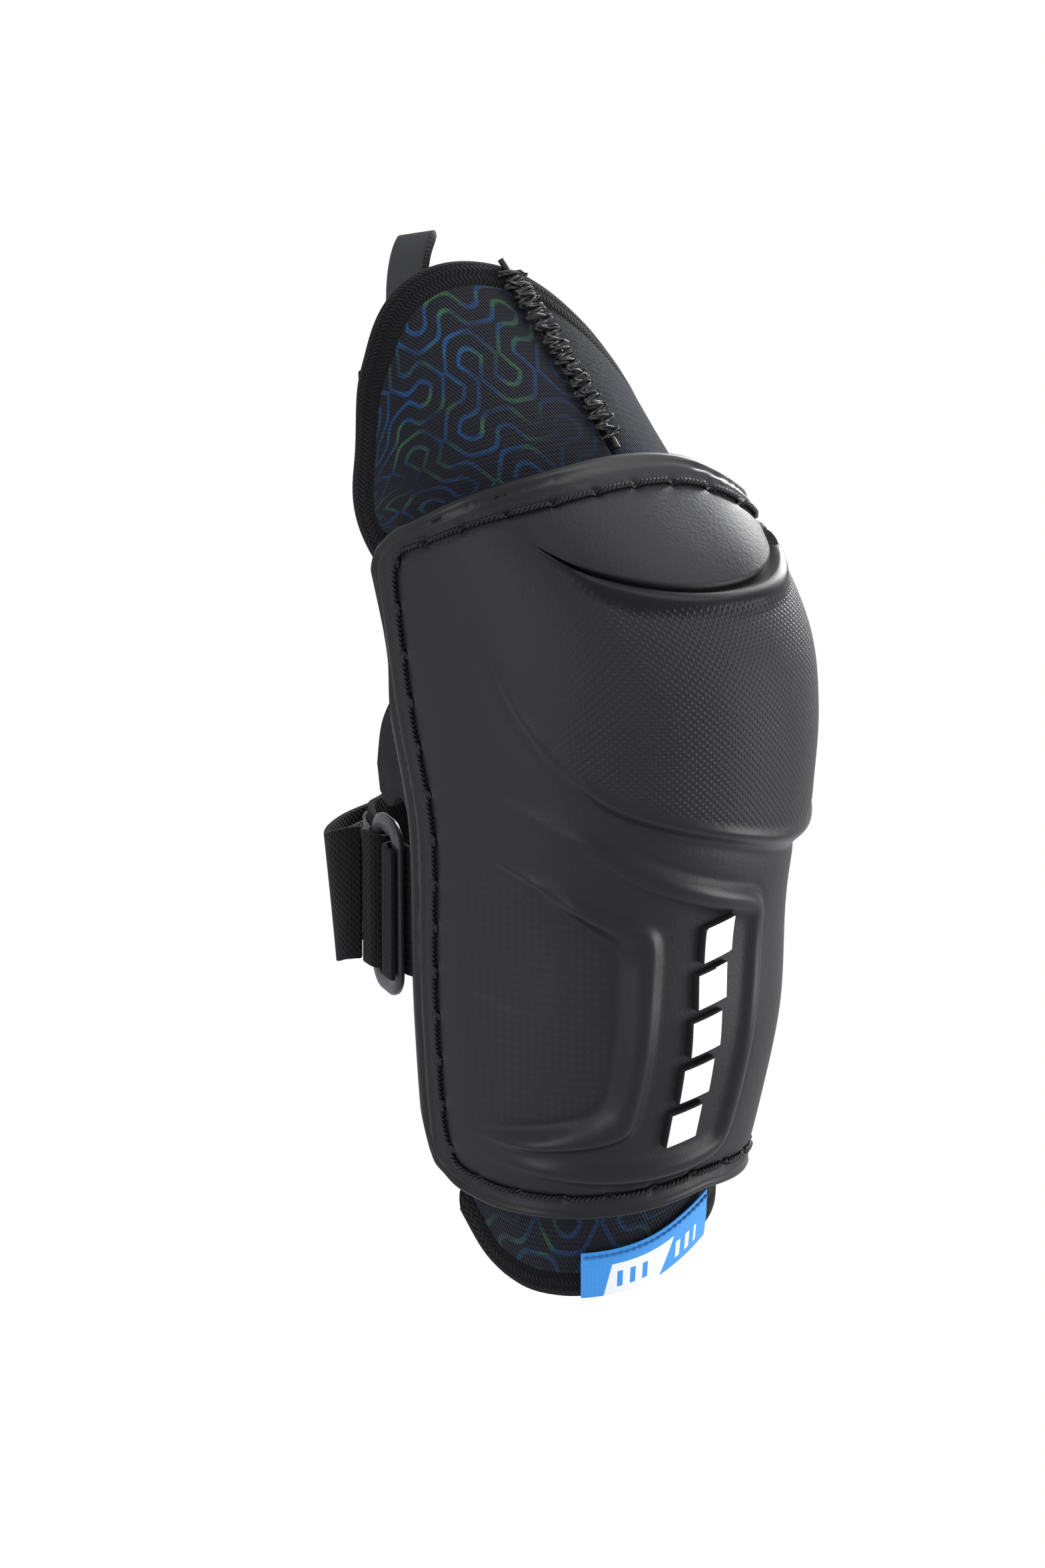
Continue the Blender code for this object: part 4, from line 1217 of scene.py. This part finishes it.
def build_forearm_strap():
    arc = [(STRAP_RUN_RADIUS * math.sin(math.radians(a)), STRAP_CENTRE_Y + STRAP_RUN_RADIUS
            * math.cos(math.radians(a))) for a in range(-28, 61, 11)]
    run = flowing([at_ring(*RUN_START), *arc, (35.2, 30.5)])
    sewn_end, sewn_widths = under_cap((127, 124, 121, 118, 115, 112, 109), 4.2, STRAP_WIDTH)
    upright = np.array((0, 0, STRAP_WIDTH))
    path = np.concatenate([at_strap_height(run), sewn_end])
    widths = np.concatenate([np.broadcast_to(upright, (len(run), 3)), sewn_widths])
    settle(band("forearm_strap_run", path, widths, STRAP_THICKNESS), "pad", "strap_elastic", STRAP, "forearm_strap")
    loop = run[(run[:, 0] > -24) & (run[:, 0] < 12)]
    settle(band("loop_patch", at_strap_height(beside(loop, PATCH_OUT)), (0, 0, 28), 0.8, 0.2), "pad",
           "hook_and_loop", HOOK, "strap_loop_patch")
    sewn = run[(run[:, 0] > 30) & (run[:, 1] > 27) & (run[:, 1] < 38)]
    settle(band("strap_anchor_patch", at_strap_height(beside(sewn, PATCH_OUT)), (0, 0, 30), 0.7, 0.2), "pad",
           "webbing", WEBBING, "forearm_strap_patch")
    rows = edge_stitches("anchor_stitches", at_strap_height(beside(sewn, 2.0)), (0, 0, 29), (0.25, 0.12, 0))
    settle(rows, "pad", "bonded_thread", LACING)
    turn = flowing([at_ring(*p) for p in STRAP_TURN], 0.6)
    settle(band("strap_turn", at_strap_height(turn), upright, STRAP_THICKNESS), "ring", "strap_elastic", STRAP,
           "forearm_strap_turn")
    tail = flowing([at_ring(*TAIL_START), *TAIL_PATH])
    settle(band("strap_tail", *drooping(tail, STRAP_WIDTH, 15.0), STRAP_THICKNESS), "strap_tail", "strap_elastic",
           STRAP, "forearm_strap_tail")
    hook = tail[(tail[:, 0] > -19) & (tail[:, 0] < 8)]
    settle(band("hook_patch", *drooping(beside(hook, -PATCH_OUT), 28, 0.1), 0.8, 0.2), "strap_tail",
           "hook_and_loop", HOOK, "tail_hook_patch")
    held, held_widths = under_cap((-102, -106, -110, -114, -117, -120), 4.1, TAB_WIDTH)
    wrap = at_strap_height(flowing([at_ring(*p) for p in TAB_WRAP], 0.6))
    path = np.concatenate([held, wrap])
    widths = np.concatenate([held_widths, np.broadcast_to((0, 0, TAB_WIDTH), wrap.shape)])
    settle(band("ring_tab_webbing", path, widths, 1.2, 0.25), "pad", "webbing", WEBBING, "ring_tab")


# ---- light and camera ----
LAMP_AIM = Vector((0.0, 0.0, 0.12))
LAMPS = (  # name, place, size, power, share that shines back
    ("right_softbox", (1.05, 0.24, 0.48), (0.35, 0.5), 15, 1.0),
    ("low_softbox", (0.8, -1.0, 0.0), (0.7, 0.8), 12, 1.0),
    ("top_softbox", (0.4, -0.5, 1.1), (0.7, 0.7), 6, 0.2),
    ("left_strip", (-1.1, 0.1, 0.3), (0.25, 1.0), 4, 1.0),
)
ROOM_LIGHT = 0.86
ROOM_TINT = (0.97, 0.97, 1.04, 1.0)
BACKDROP = (1.0, 1.0, 1.0, 1.0)
CAMERA_TARGET = Vector((0.0164, 0.0347, 0.1090))
CAMERA_DISTANCE = 2.0
SENSOR_HEIGHT = 36
FRAMED_HEIGHT = 0.3871


def add_lamp(name, place, size, power, shine):
    light = bpy.data.lights.new(name, "AREA")
    light.shape = "RECTANGLE"
    light.size, light.size_y = size
    light.energy = power
    light.specular_factor = shine
    lamp = bpy.data.objects.new(name, light)
    lamp.location = place
    lamp.rotation_euler = (LAMP_AIM - Vector(place)).to_track_quat("-Z", "Y").to_euler()
    bpy.context.scene.collection.objects.link(lamp)


def build_light():
    """A white backdrop, a dimmer room and four lamps."""
    world = bpy.data.worlds.new("studio")
    world.use_nodes = True
    tree = world.node_tree
    seen, lighting = tree.nodes["Background"], tree.nodes.new("ShaderNodeBackground")
    seen.inputs[0].default_value = BACKDROP
    lighting.inputs[0].default_value = ROOM_TINT
    seen.inputs[1].default_value = 1.0
    lighting.inputs[1].default_value = ROOM_LIGHT
    switch = tree.nodes.new("ShaderNodeMixShader")
    tree.links.new(tree.nodes.new("ShaderNodeLightPath").outputs["Is Camera Ray"], switch.inputs[0])
    tree.links.new(lighting.outputs[0], switch.inputs[1])
    tree.links.new(seen.outputs[0], switch.inputs[2])
    tree.links.new(switch.outputs[0], tree.nodes["World Output"].inputs[0])
    bpy.context.scene.world = world
    for lamp in LAMPS:
        add_lamp(*lamp)


def build_camera():
    """A long lens from the front left, a little above."""
    towards = Vector((-0.707, -0.636, 0.309)).normalized()
    data = bpy.data.cameras.new("camera")
    data.sensor_fit = "VERTICAL"
    data.sensor_height = SENSOR_HEIGHT
    data.lens = SENSOR_HEIGHT * CAMERA_DISTANCE / FRAMED_HEIGHT
    data.clip_end = 50
    camera = bpy.data.objects.new("camera", data)
    camera.location = CAMERA_TARGET + towards * CAMERA_DISTANCE
    camera.rotation_euler = (-towards).to_track_quat("-Z", "Y").to_euler()
    bpy.context.scene.collection.objects.link(camera)
    bpy.context.scene.camera = camera


build_cap()
build_lacing()
build_emblem()
build_padding()
build_gusset()
build_cuff()
build_flare()
build_bicep_strap()
build_ring()
build_forearm_strap()
build_light()
build_camera()
bpy.context.scene.view_settings.view_transform = "Standard"
